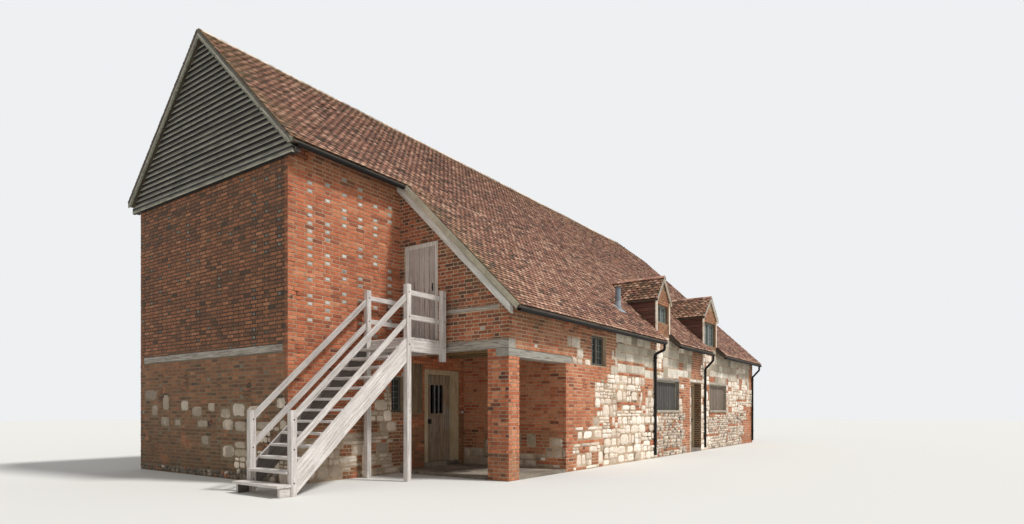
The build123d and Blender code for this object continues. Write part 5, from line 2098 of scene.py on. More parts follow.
    def _far_gable(self) -> Wall:
        """The far gable, up to the half hip, with its two windows."""
        s = SHELL
        windows = [(1.314, 2.414, *levels) for levels in self.storeys]
        return Wall(
            EAST, s.east, (s.front, s.back), top=lambda a: min(s.roof_under(a), 8.28), gaps=windows,
            corners=(s.front, s.back), tone=0.5, glazed=lambda a, z: 0.25,
            soil_and_shade=lambda a, z: 0.5 if z < 0.8 else 0.15, soldiers=[_head(w) for w in windows],
            zones=[Zone((-4.3, 4.3, 0.0, 0.9), Walling.PATCHWORK, 0.5, 0.55, 0.3)],
        )

    def _back(self) -> Wall:
        """The back wall, with its eight windows."""
        s = SHELL
        windows = [
            (middle - 0.55, middle + 0.55, *levels)
            for middle in self.back_windows for levels in self.storeys
        ]
        return Wall(
            BACK, s.back, (-s.east, -s.west), top=lambda a: s.roof_under(s.back), gaps=windows,
            corners=(-s.east, -s.west), phase=0.15, tone=0.5, glazed=lambda a, z: 0.25,
            soil_and_shade=lambda a, z: 0.6 if z < 0.8 else 0.15, soldiers=[_head(w) for w in windows],
            zones=[Zone((-10.5, 10.5, 0.0, 0.75), Walling.PATCHWORK, 0.55, 0.55, 0.3)],
        )


def _head(window: Place) -> Place:
    """The row of bricks on end over a window."""
    return (window[0] - 0.11, window[1] + 0.11, window[3], window[3] + 0.22)


# Dormers


@dataclass(frozen=True)
class Dormer:
    """One dormer, in metres."""

    middle: float
    width: float
    eaves: float
    ridge: float
    sill: float
    roof: float = 0.06
    overhang: float = 0.07

    @property
    def rise(self) -> float:
        """Rise of its roof for each metre towards the middle."""
        return (self.ridge - self.roof - self.eaves) / (self.width / 2)

    @property
    def window(self) -> Place:
        """The opening in its front."""
        half = self.width / 2 - 0.12
        return (self.middle - half, self.middle + half, self.sill, self.eaves - 0.15)

    def under(self, across: float) -> float:
        """Height of the underside of its roof, at this distance from the middle."""
        return self.ridge - self.roof - across * self.rise

    def back_at(self, z: float) -> float:
        """How far back its roof runs at this height, before the main roof meets it."""
        return SHELL.ridge_y - (SHELL.ridge_z - z) / SHELL.slope


DORMERS = (Dormer(0.2, 1.0, 4.5995, 5.28, 3.9225), Dormer(4.61, 1.42, 4.5895, 5.34, 3.6325))


@dataclass
class DormerTrim:
    """Cheek boards, raking verges and edging strips of the dormers."""

    board: float = 0.115
    strip: float = 0.055
    thick: float = 0.022            # of a cheek board at its foot
    thin: float = 0.006             # and at its head
    lap: float = 0.012

    def build(self) -> None:
        """Builds the trim of both dormers."""
        boards = Pile(31)
        pale = Pile(32)
        for dormer in DORMERS:
            self._cheeks(boards, dormer)
            self._strips(pale, dormer)
        boards.ship("dormer_cheek_boards", Look.CHEEK_BOARDS, "old_timber")
        pale.ship("dormer_edgings", Look.EDGING, "roof_tile")
        dress(Look.TORCHING, "dormer_roofs")

    def _cheeks(self, pile: Pile, dormer: Dormer) -> None:
        """Laps boards over both cheeks, down to the main roof.

        Args:
            pile: where the boards go.
            dormer: the dormer.
        """
        for side in (-1, 1):
            face = dormer.middle + side * dormer.width / 2
            z = SHELL.roof_top(SHELL.front) + 0.02
            while z < dormer.eaves - 0.02:
                high = min(z + self.board + self.lap, dormer.eaves)
                corners = ((0, z), (side * self.thick, z), (side * self.thin, high), (0, high))

                def section(y: float) -> Quad:
                    """One board's section at y."""
                    return [Vector((face + out, y, level)) for out, level in corners]

                reach = (SHELL.front + 0.01, min(dormer.back_at(high), dormer.back_at(dormer.eaves)))
                if reach[1] - reach[0] > 0.06:
                    pile.sweep(section, reach, chamfer=0.002, wear=0.001)
                z += self.board

    def _strips(self, pile: Pile, dormer: Dormer) -> None:
        """Edges the front with pale strips: two upright, two raking.

        Args:
            pile: where the strips go.
            dormer: the dormer.
        """
        out = SHELL.front - 0.022
        for side in (-1, 1):
            outer = dormer.middle + side * (dormer.width / 2 + 0.024)
            inner = outer - side * self.strip
            foot = SHELL.roof_top(SHELL.front) - 0.01
            low = (min(outer, inner), out, foot)
            pile.box(low, (max(outer, inner), SHELL.front + 0.03, dormer.eaves - 0.03), 2, chamfer=0.006)
            front = SHELL.front - dormer.overhang

            def section(across: float) -> Quad:
                """The raking strip's section, this far from the middle."""
                x = dormer.middle + side * across
                z = dormer.ridge - across * dormer.rise
                corners = ((0, 0.014), (0, -0.085), (0.05, -0.085), (0.05, 0.014))
                return [Vector((x, front + inwards, z + up)) for inwards, up in corners]

            pile.sweep(section, (0.0, dormer.width / 2 + dormer.overhang), chamfer=0.005)


# Roofs


@dataclass
class Slope:
    """One roof slope: its apex, the way it faces, its pitch and where each row may lie."""

    apex: Vector
    face: float
    pitch: float
    down: Span                                  # first and last distance down from the apex
    spans: Callable[[float], list[Span]]        # stretches along the slope at this distance down
    lichen: Share = lambda along, down: 0.3
    last: int = 0                               # number of the row at the eaves

    @property
    def along(self) -> Vector:
        """Direction along the slope."""
        return Vector((math.cos(self.face), math.sin(self.face), 0))

    @property
    def fall(self) -> Vector:
        """Direction down the slope."""
        level = Vector((math.sin(self.face), -math.cos(self.face), 0)) * math.cos(self.pitch)
        return level - Vector((0, 0, math.sin(self.pitch)))

    @property
    def normal(self) -> Vector:
        """Direction outwards from the slope."""
        level = Vector((math.sin(self.face), -math.cos(self.face), 0)) * math.sin(self.pitch)
        return level + Vector((0, 0, math.cos(self.pitch)))

    def at(self, along: float, down: float, out: float) -> Vector:
        """A place on the slope. out is the distance above its surface."""
        return self.apex + self.along * along + self.fall * down + self.normal * out


@dataclass
class Roofs:
    """Plain tiles, ridge and hip tiles, and mortar verges."""

    gauge: float = 0.1004
    pitch_across: float = 0.165
    joint: float = 0.01
    length: float = 0.19
    thickness: float = 0.017
    lift: float = 0.02
    tilt: float = math.radians(6.8)
    wave: float = 0.006             # how far the slope sags and swells
    tone: float = 0.56
    spread: float = 0.23
    eaves_tone: float = 0.3         # added to the tone of the row at the eaves
    odd: float = 0.03               # share of tiles of the other colour
    narrowest: float = 0.045        # width of the narrowest cut tile
    ragged: float = 0.016           # how far a joint is off its place
    ridge_length: float = 0.45
    verge: float = -10.585          # x where the main slopes start
    far_verge: float = 10.524       # and where they end
    return_verge: float = -7.754    # x where the catslide starts
    hip_x: float = 8.78             # x of the half hip's apex
    hip_run: float = 1.76           # its run, level
    low_line: float = -1.661        # y where the catslide goes on from the front slope
    eaves_low: float = 8.42         # down the slope, to the catslide's eaves
    eaves_back: float = 4.279       # and to the back's
    flue_gap: float = 0.08          # from the flue's middle to the tiles beside it
    seed: int = 41

    def build(self) -> None:
        """Tiles every slope and covers the ridges."""
        self.draw = random.Random(self.seed)
        angle = math.atan(SHELL.slope)
        sine = math.sin(angle)
        eaves_upper = (SHELL.ridge_z - SHELL.roof_top(self.low_line)) / sine
        apex = Vector((0, SHELL.ridge_y, SHELL.ridge_z))
        front = Slope(apex, FRONT, angle, (0, eaves_upper),
                      lambda t: [(self.verge, self._hip_line(t * sine))], self._near_verge(-10.54))
        low = Slope(apex, FRONT, angle, (eaves_upper, self.eaves_low),
                    lambda t: self._low_spans(t * sine), self._near_verge(self.return_verge))
        back = Slope(apex, BACK, angle, (0, self.eaves_back),
                     lambda t: [(-self._hip_line(t * sine), -self.verge)])
        hip = self._hip()
        for name, slopes in (
            ("front_tiles", [front]), ("catslide_tiles", [low]), ("back_tiles", [back]),
            ("dormer_tiles", self._dormer_slopes()), ("hip_tiles", [hip]),
        ):
            self._tile(name, slopes)
        self._ridges(hip)
        self._verges(front, back)
        dress(Look.TORCHING, "roof_front", "roof_back", "roof_low", "half_hip")
        dress(Look.MOSSY, "roof_catslide")

    @staticmethod
    def _near_verge(verge: float) -> Share:
        """Lichen that thickens towards a verge and the ridge."""
        return lambda along, down: min(1.0, 0.12 + 0.5 * math.exp(-(along - verge) / 0.5)
                                       + 0.6 * math.exp(-down / 0.5))

    def _hip_line(self, fall: float) -> float:
        """X where a slope ends at its far side, this far below the ridge."""
        return min(self.far_verge, self.hip_x + fall / HIP_RISE)

    def _low_spans(self, fall: float) -> list[Span]:
        """Stretches of a row of the low slope, cut by the dormers and the flue.

        Args:
            fall: how far the row is below the ridge.

        Returns:
            The stretches.
        """
        z = SHELL.ridge_z - fall
        spans = [(self.return_verge, self._hip_line(fall))]
        for dormer in DORMERS:
            half = min(dormer.width / 2 + 0.02, (dormer.ridge - z) / dormer.rise)
            if half > 0:
                spans = _without(spans, (dormer.middle - half, dormer.middle + half))
        if abs(z - SHELL.roof_top(FLUE_Y)) < 0.05:
            spans = _without(spans, (FLUE_X - self.flue_gap, FLUE_X + self.flue_gap))
        return spans

    def _dormer_slopes(self) -> list[Slope]:
        """Both slopes of each dormer."""
        slopes = []
        for dormer in DORMERS:
            pitch = math.atan(dormer.rise)
            reach = (dormer.width / 2 + dormer.overhang) / math.cos(pitch)
            start = SHELL.front - dormer.overhang
            apex = Vector((dormer.middle, start, dormer.ridge))
            for face in (EAST, WEST):

                def spans(t: float, dormer: Dormer = dormer, face: float = face) -> list[Span]:
                    """From the dormer's front back to the main roof."""
                    fall = t * math.sin(math.atan(dormer.rise))
                    far = dormer.back_at(dormer.ridge - fall) - start
                    return [(0.0, far)] if face == EAST else [(-far, 0.0)]

                slopes.append(Slope(apex, face, pitch, (0, reach), spans, lambda a, d: 0.35))
        return slopes

    def _hip(self) -> Slope:
        """The half hip at the far end."""
        pitch = math.atan(HIP_RISE)
        ratio = HIP_RISE / SHELL.slope * math.cos(pitch)
        apex = Vector((self.hip_x, SHELL.ridge_y, SHELL.ridge_z))
        down = (0, self.hip_run / math.cos(pitch) - 0.022)
        return Slope(apex, EAST, pitch, down, lambda t: [(-t * ratio, t * ratio)])

    def _tile(self, name: str, slopes: Sequence[Slope]) -> None:
        """Lays the rows of some slopes as one piece.

        Args:
            name: the piece's name.
            slopes: the slopes.
        """
        laid = Laid(Shape.TILE)
        for slope in slopes:
            rows = max(1, round((slope.down[1] - slope.down[0]) / self.gauge))
            step = (slope.down[1] - slope.down[0]) / rows
            slope.last = rows
            for number in range(1, rows + 1):
                down = slope.down[0] + number * step
                for span in slope.spans(down):
                    self._row(laid, slope, number, down, span)
        ship(laid.lay(name, Look.TILE, self.seed, 0.012, 0.0015), HOUSE, "roof_tile")

    def _row(self, laid: Laid, slope: Slope, number: int, down: float, span: Span) -> None:
        """Lays one stretch of one row.

        Args:
            laid: where the tiles go.
            slope: the slope.
            number: the number of the row.
            down: how far down the slope it is.
            span: from and to, along the slope.
        """
        half = self.pitch_across / 2 * (number % 2)
        first = math.floor((span[0] - half) / self.pitch_across) - 1
        cuts = [span[0]]
        place = first * self.pitch_across + half
        while place < span[1]:
            if span[0] + self.narrowest < place < span[1] - self.narrowest:
                cuts.append(place + self.draw.uniform(-self.ragged, self.ragged))
            place += self.pitch_across
        cuts.append(span[1])
        turn = Vector((slope.pitch - self.tilt, 0, slope.face))
        length = min(self.length, down - 0.02)
        brighter = self.eaves_tone if number == slope.last else 0.0
        for start, end in zip(cuts, cuts[1:]):
            middle = (start + end) / 2
            here = slope.at(middle, down, 0)
            wave = self.wave * noise.noise(Vector((here.x * 0.6, here.y * 0.6, here.z * 0.6)))
            lift = self.lift + wave + self.draw.uniform(-0.003, 0.004)
            size = Vector((end - start - self.joint, length, self.thickness))
            drift = 0.16 * noise.noise(here * 0.45) + 0.08 * noise.noise(here * 2.1)
            tone = self.tone + drift + self.draw.gauss(0, self.spread) + brighter
            kind = 1.0 if self.draw.random() < self.odd else 0.0
            laid.put(slope.at(middle, down, lift), turn, size, tone, kind, slope.lichen(middle, down))

    def _ridges(self, hip: Slope) -> None:
        """Sets the ridge tiles on beds of mortar, the hip tiles and the dormer ridges.

        Args:
            hip: the slope of the half hip.
        """
        tiles = Pile(42)
        beds = Pile(43)
        low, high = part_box("ridge_tiles")
        start = Vector((low.x, SHELL.ridge_y, high.z - 0.002))
        # the main ridge takes the pale shades: partly a painted highlight of sun along the ridge
        self._saddles(tiles, start, Vector((high.x, start.y, start.z)), 0.13, 0.094, self.ridge_length)
        for side in (-1, 1):
            y = SHELL.ridge_y + side * 0.131
            z = SHELL.roof_top(y) + 0.03
            near = [Vector((low.x + 0.004, y + a, z + b)) for a, b in BED_SECTION]
            far = [Vector((high.x, y + a, z + b)) for a, b in BED_SECTION]
            beds.timber(near, far, chamfer=0.006, wear=0.004, pitch=0.2)
            along = side * hip.down[1] * HIP_RISE / SHELL.slope * math.cos(hip.pitch)
            foot = hip.at(along, hip.down[1], 0.04)
            top = Vector((8.80, SHELL.ridge_y, SHELL.ridge_z + 0.02))
            self._saddles(tiles, top, foot + Vector((-0.03, 0, 0.0)), 0.11, 0.05, 0.3)
        for dormer in DORMERS:
            front = Vector((dormer.middle, SHELL.front - dormer.overhang + 0.004, dormer.ridge + 0.052))
            back = Vector((dormer.middle, dormer.back_at(dormer.ridge) + 0.06, dormer.ridge + 0.052))
            self._saddles(tiles, front, back, 0.09, 0.075, 0.3, (0.0, 0.4))
        tiles.ship("ridge_and_hip_tiles", Look.RIDGE, "ridge_tile", "ridge_tiles")
        beds.ship("ridge_beds", Look.VERGE, "ridge_tile")

    def _saddles(self, pile: Pile, start: Vector, end: Vector, half: float, drop: float,
                 length: float, tones: Span = (0.5, 1.0)) -> None:
        """Sets arched tiles end to end along a line through their crowns.

        Args:
            pile: where the tiles go.
            start: where the line starts.
            end: where it ends.
            half: half a tile's width.
            drop: from its crown to its edges.
            length: about a tile's length.
            tones: darkest and lightest shade.
        """
        axis = end - start
        along = axis.normalized()
        side = Vector((-along.y, along.x, 0)).normalized()
        up = along.cross(side)
        if up.z < 0:
            up = -up
        count = max(1, round(axis.length / length))
        for number in range(count):
            near = start + axis * (number / count) + along * 0.004
            far = start + axis * ((number + 1) / count) - along * 0.004
            jog = Vector((0, 0, -self.draw.uniform(0, 0.006)))
            outline = []
            for depth, order in ((0.0, 1), (self.thickness, -1)):
                for step in range(-4, 5):
                    share = order * step / 4
                    reach = half - depth * 0.5
                    fall = depth + drop * (0.35 * share * share + 0.65 * abs(share) ** 1.3)
                    if abs(step) == 4:
                        fall = drop + depth * 0.3
                    outline.append(near + jog + side * (reach * share) - up * fall)
            pile.prism(outline, far - near, self.draw.uniform(*tones))

    def _verges(self, front: Slope, back: Slope) -> None:
        """Points the verges with a pale band of mortar under the tiles' edges.

        Args:
            front: the front slope.
            back: the back slope.
        """
        pile = Pile(44)
        sine = math.sin(front.pitch)
        hip_down = self.hip_run * HIP_RISE / sine
        for slope, edge, inward, reach in (
            (front, -10.575, 1, (0.05, 4.31)), (back, 10.575, -1, (0.05, 4.27)),
            (front, 10.526, -1, (hip_down, 8.38)), (back, -10.526, 1, (hip_down, 4.26)),
        ):
            self._band(pile, slope, (edge, edge + inward * 0.06), reach, -0.03)
        pile.ship("verge_mortar_bands", Look.VERGE, "roof_tile")
        mossy = Pile(45)
        self._band(mossy, front, (-7.758, -7.7), (4.36, 8.40), -0.104)
        mossy.ship("return_verge_band", Look.MOSSY, "roof_tile")

    @staticmethod
    def _band(pile: Pile, slope: Slope, edges: Span, reach: Span, under: float) -> None:
        """Runs a band of mortar down a verge, up to the tiles.

        Args:
            pile: where the band goes.
            slope: the slope.
            edges: its outer and inner edge.
            reach: from and to, down the slope.
            under: height of its foot, from the slope.
        """
        near, far = edges
        corners = ((near, under), (near, 0.014), (far, 0.014), (far, under))

        def section(down: float) -> Quad:
            """The band's section, this far down the slope."""
            return [slope.at(along, down, out) for along, out in corners]

        pile.sweep(section, reach, chamfer=0.005, wear=0.004, pitch=0.18)


HIP_RISE = 0.815 / 1.76                         # of the half hip, for each metre of its run
BED_SECTION = ((-0.03, -0.02), (0.03, -0.02), (0.03, 0.018), (-0.03, 0.018))
FLUE_X = -1.78
FLUE_Y = -3.761


# Boards, beams and frames


@dataclass
class GableBoarding:
    """The lapped boards of the near gable, between its bargeboards."""

    lap: float = 0.025
    half: float = 3.06
    lip: float = 0.04               # thickness of a board at its foot, with its slope
    edge: float = 0.004             # and at its top
    uneven: float = 0.003           # how far an end is off level
    seed: int = 51

    def build(self) -> None:
        """Laps the boards from the base board up."""
        draw = random.Random(self.seed)
        pile = Pile(self.seed)
        low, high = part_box("gable_boarding")
        face = low.x
        pile.box((face - 0.04, low.y + 0.03, low.z - 0.03), (face + 0.02, high.y - 0.03, low.z + 0.1), 1,
                 chamfer=0.006, wear=0.003, tone=0.95)
        z = low.z + LAP_START
        while z < high.z - 0.12:
            top = min(z + LAP_PITCH + self.lap, high.z - 0.02)
            cuts = [-1.0, 1.0]
            if z < high.z - 1.2:
                cuts.insert(1, draw.uniform(-0.5, 0.5))
            sag = [draw.uniform(-self.uneven, self.uneven) for _ in cuts]
            corners = ((0.0, z), (self.lip, z), (self.edge, top), (0.0, top))
            for i in range(len(cuts) - 1):
                ends = []
                for j, shift in ((i, 0.0015), (i + 1, -0.0015)):
                    quad = []
                    for out, level in corners:
                        half = min(self.half, (high.z - level) / SHELL.slope - 0.01)
                        y = SHELL.ridge_y + cuts[j] * half + (shift if abs(cuts[j]) < 1 else 0)
                        quad.append(Vector((face - out, y, level + sag[j])))
                    ends.append(quad)
                pile.timber(*ends, chamfer=0.003, wear=0.003, pitch=0.35)
            z += LAP_PITCH
        pile.ship("gable_lapped_boards", Look.SILVER, "weatherboard")
        # the boarding behind the laps is dark where it shows inside the bargeboards: painted shadow
        dress(Look.DARK_LEAF, "gable_boarding")
        timbers("gable_bargeboards", 52, Look.GREEN_TIMBER, "old_timber", 0.008, 0.002)
        self._capping()

    def _capping(self) -> None:
        """A dark fillet along the upper edge of each bargeboard, partly painted shadow of the tiles' edge,
        and a pale one under it.
        """
        dark, pale = Pile(53), Pile(54)
        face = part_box("gable_bargeboards")[0].x
        for side in (-1, 1):
            for pile, top, foot, out in ((dark, -0.004, 0.048, 0.012), (pale, 0.07, 0.118, 0.008)):
                corners = ((0.0, top), (out, top), (out, foot), (0.0, foot))

                def section(across: float) -> Quad:
                    """The strip's section, this far from the ridge."""
                    y = SHELL.ridge_y + side * across
                    z = SHELL.roof_top(y)
                    return [Vector((face - reach, y, z - drop)) for reach, drop in corners]

                pile.sweep(section, (0.004, 3.08), chamfer=0.003)
        # dark fillets: the tiles' dark edge, with painted shadow under it
        dark.ship("bargeboard_fillets", Look.WINDOW_WOOD, "old_timber")
        pale.ship("bargeboard_strips", Look.PALE_TIMBER, "old_timber")


@dataclass
class Timberwork:
    """Beams, joists and the frames of doors and windows."""

    board: float = 0.165            # of the porch ceiling
    board_thickness: float = 0.017
    ceiling: float = 2.662          # height of its boards' lower face

    def build(self) -> None:
        """Replaces each node of timber with worn timbers."""
        for node, seed, look, slot, chamfer, wear in (
            ("front_beam", 60, Look.GREY_TIMBER, "old_timber", 0.012, 0.005),
            ("return_beam", 61, Look.PALE_TIMBER, "old_timber", 0.012, 0.005),
            ("wall_timbers", 62, Look.PALE_TIMBER, "old_timber", 0.012, 0.005),
            ("return_rafter", 63, Look.WHITE_TIMBER, "old_timber", 0.012, 0.005),
            ("roof_timbers", 64, Look.WINDOW_WOOD, "old_timber", 0.012, 0.005),
            ("upper_door_frame", 65, Look.WHITE_TIMBER, "old_timber", 0.012, 0.005),
            ("floor_timbers", 67, Look.FLOOR_WOOD, "old_timber", 0.01, 0.004),
            ("window_frames", 70, Look.WINDOW_WOOD, "window_wood", 0.005, 0.001),
            ("dormer_windows", 71, Look.DORMER_WOOD, "window_wood", 0.005, 0.001),
            ("shutter_frames", 73, Look.PALE_WOOD, "window_wood", 0.006, 0.002),
        ):
            timbers(node, seed, look, slot, chamfer, wear)
        dress(Look.DOOR_FRAME, "porch_door_frame", "front_door_frame")
        dress(Look.UPPER_FLOOR, "upper_floors")
        self._ceiling()

    def _ceiling(self) -> None:
        """Boards of the porch ceiling, over the joists."""
        pile = Pile(68)
        reach = (SHELL.return_x + 0.225, SHELL.porch_side - 0.005)
        z = self.ceiling
        y = SHELL.front + 0.31
        while y < SHELL.block_front - 0.05:
            end = min(y + self.board, SHELL.block_front - 0.002) - 0.004
            pile.box((reach[0], y, z), (reach[1], end, z + self.board_thickness), 0, chamfer=0.003, pitch=0.5)
            y += self.board
        pile.ship("porch_ceiling_boards", Look.FLOOR_WOOD, "floor_boards")


def planks(pile: Pile, low: Sequence[float], high: Sequence[float], across: int, width: float,
           gap: float = 0.004) -> None:
    """Stands boards side by side to fill a box.

    Args:
        pile: where the boards go.
        low: lowest corner of the box.
        high: highest corner of the box.
        across: the axis that they are spread along, 0 or 1.
        width: about the width of a board.
        gap: the gap between two boards.
    """
    count = max(1, round((high[across] - low[across]) / width))
    step = (high[across] - low[across]) / count
    for number in range(count):
        a = list(low)
        b = list(high)
        a[across] = low[across] + number * step + gap / 2
        b[across] = low[across] + (number + 1) * step - gap / 2
        thin = 1 - across
        a[thin] += pile.draw.uniform(0, 0.0015)
        pile.box(a, b, 2, chamfer=0.004, wear=0.0015)


def pins(node: str, x: float, y: float, reach: float = 0.016) -> list[Span]:
    """Finds the knuckles of a hinge round an upright pin.

    Args:
        node: the door's node.
        x: place of the pin.
        y: place of the pin.
        reach: how far from the pin a knuckle's corners are.

    Returns:
        Foot and head of each knuckle.
    """
    heights = sorted({
        round(v.co.z, 3) for v in frame["nodes"][node].data.vertices
        if math.hypot(v.co.x - x, v.co.y - y) < reach
    })
    spans: list[Span] = []
    for low, high in zip(heights, heights[1:]):
        if high - low < 0.2:
            spans.append((low, high))
    return spans


@dataclass
class Doors:
    """The porch door, the front door and the upper door."""

    skin: float = 0.007             # thickness of the boards on each side of a leaf
    ledge: Span = (0.05, 0.012)     # half its width, and its thickness
    strap: float = 0.55
    sleeve: float = 0.0135          # radius of the sleeve round a hinge's knuckle
    porch_leaf: tuple[Vector, Vector] = (Vector((-6.720, -1.301, 0.173)), Vector((-5.938, -1.256, 2.182)))
    porch_pin: Span = (-5.934, -1.236)
    barred: Place = (-6.59, -6.17, 1.29, 1.95)          # the opening in the porch door
    uprights: Span = (-6.45, -6.31)                     # the middles of its two bars
    front_leaf: tuple[Vector, Vector] = (Vector((2.713, -3.977, 0.108)), Vector((3.577, -3.932, 2.182)))
    front_pin: Span = (2.709, -3.912)
    lock: Place = (-6.70, -6.575, 1.05, 1.16)           # of the porch door
    knob: Span = (-6.665, 1.12)
    plate: Place = (3.465, 3.515, 0.96, 1.13)           # of the front door
    handle: Span = (3.49, 1.05)
    upper_ledges: tuple[float, ...] = (3.05, 3.8, 4.55)

    def build(self) -> None:
        """Boards the three doors and hangs their ironwork."""
        self._porch_door()
        self._front_door()
        self._upper_door()

    def _porch_door(self) -> None:
        """Brown-grey boards round a barred opening, with a lock at the left."""
        low, high = self.porch_leaf
        wood, iron, bars = Pile(81), Pile(82), Pile(87)
        hole = Rect(*self.barred)
        edges = (low.x, hole.start, *self.uprights, hole.end, -6.054, high.x)
        for face in (low.y - self.skin, high.y):
            for start, end in zip(edges, edges[1:]):
                barred = hole.start - 0.01 < start < hole.end - 0.01
                parts = ((low.z, hole.low), (hole.high, high.z)) if barred else ((low.z, high.z),)
                for foot, head in parts:
                    far = (end - 0.002, face + self.skin, head - 0.001)
                    wood.box((start + 0.002, face, foot + 0.001), far, 2, chamfer=0.003, wear=0.001)
        out = low.y - self.skin
        for z in (hole.low - 0.03, hole.high):
            far = (hole.end + 0.03, out + 0.002, z + 0.03)
            wood.box((hole.start - 0.03, out - 0.008, z), far, 0, chamfer=0.003)
        self._ledges(wood, (low.x + 0.03, high.x - 0.06), high.y + self.skin, (0.42, 1.16, 2.05))
        lock = Rect(*self.lock)
        far = (lock.end, out + 0.001, lock.high)
        iron.box((lock.start, out - 0.014, lock.low), far, 0, chamfer=0.003, wear=0.0)
        self._rods(iron, self.knob, out, ((-0.05, -0.01, 0.009), (-0.056, -0.04, 0.02)))
        self._straps(iron, "porch_door", self.porch_pin, high.y + self.skin, -1)
        for x in self.uprights:
            far = (x + 0.011, out + 0.006, hole.high)
            bars.box((x - 0.011, out - 0.004, hole.low), far, 2, chamfer=0.003)
        bars.ship("porch_door_bars", Look.LEAD, "door_boards", body="porch_door")
        wood.ship("porch_door_boards", Look.DOOR_OAK, "door_boards", body="porch_door")
        iron.ship("porch_door_ironwork", Look.IRON, "door_boards", body="porch_door")
        dress(Look.DARK_LEAF, "porch_door")

    def _front_door(self) -> None:
        """Grey-brown boards in the deep doorway."""
        low, high = self.front_leaf
        wood, iron = Pile(83), Pile(84)
        for face in (low.y - self.skin, high.y):
            planks(wood, (low.x, face, low.z), (high.x, face + self.skin, high.z), 0, 0.145)
        out = low.y - self.skin
        self._ledges(wood, (low.x + 0.06, high.x - 0.03), high.y + self.skin, (0.4, 1.1, 1.9))
        self._rods(iron, self.handle, out, ((-0.045, 0.001, 0.008), (-0.052, -0.034, 0.022)))
        plate = Rect(*self.plate)
        far = (plate.end, out + 0.001, plate.high)
        iron.box((plate.start, out - 0.004, plate.low), far, 2, chamfer=0.002, wear=0.0)
        self._straps(iron, "front_door", self.front_pin, high.y + self.skin, 1)
        wood.ship("front_door_boards", Look.DOOR_OAK, "door_boards", body="front_door")
        iron.ship("front_door_ironwork", Look.IRON, "door_boards", body="front_door")
        dress(Look.DARK_LEAF, "front_door")

    def _upper_door(self) -> None:
        """Five pale grey boards on ledges, with a small latch."""
        low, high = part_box("upper_door")
        wood, iron = Pile(85), Pile(86)
        foot = (low.x, low.y + 0.004, low.z + 0.004)
        planks(wood, foot, (low.x + 0.03, high.y - 0.004, high.z - 0.004), 1, 0.15, 0.01)
        for z in self.upper_ledges:
            far = (high.x, high.y - 0.03, z + 0.06)
            wood.box((low.x + 0.028, low.y + 0.03, z - 0.06), far, 1, chamfer=0.004)
        iron.box((low.x - 0.006, low.y + 0.04, 3.86), (low.x + 0.002, low.y + 0.075, 4.02), 2, chamfer=0.002)
        iron.rod(Vector((low.x - 0.03, low.y + 0.057, 3.93)), Vector((low.x, low.y + 0.057, 3.93)), 0.009)
        wood.ship("upper_door_boards", Look.PALE_BOARDS, "door_boards", "upper_door")
        iron.ship("upper_door_latch", Look.IRON, "door_boards")

    def _ledges(self, wood: Pile, reach: Span, face: float, heights: Sequence[float]) -> None:
        """Nails ledges across the inside of a leaf."""
        half, thick = self.ledge
        for z in heights:
            wood.box((reach[0], face - 0.002, z - half), (reach[1], face + thick, z + half), 0, chamfer=0.004)

    @staticmethod
    def _rods(iron: Pile, middle: Span, y: float, rods: Sequence[tuple[float, ...]]) -> None:
        """Sets level rods one on another as a handle, each from y to y with its radius."""
        x, z = middle
        for near, far, radius in rods:
            iron.rod(Vector((x, y + near, z)), Vector((x, y + far, z)), radius)

    def _straps(self, iron: Pile, node: str, pin: Span, face: float, way: int) -> None:
        """Sets long hinge straps on the inside, with sleeves round the knuckles.

        Args:
            iron: where they go.
            node: the door's node.
            pin: place of the hinge's pin.
            face: y of the leaf's inside.
            way: 1 or -1, the way that the straps run.
        """
        x, y = pin
        for foot, head in pins(node, x, y):
            iron.rod(Vector((x, y, foot)), Vector((x, y, head)), self.sleeve, 14)
            middle = (foot + head) / 2
            start, end = sorted((x + way * 0.02, x + way * self.strap))
            iron.box((start, face, middle - 0.02), (end, face + 0.006, middle + 0.02), 0,
                     chamfer=0.002, wear=0.0)


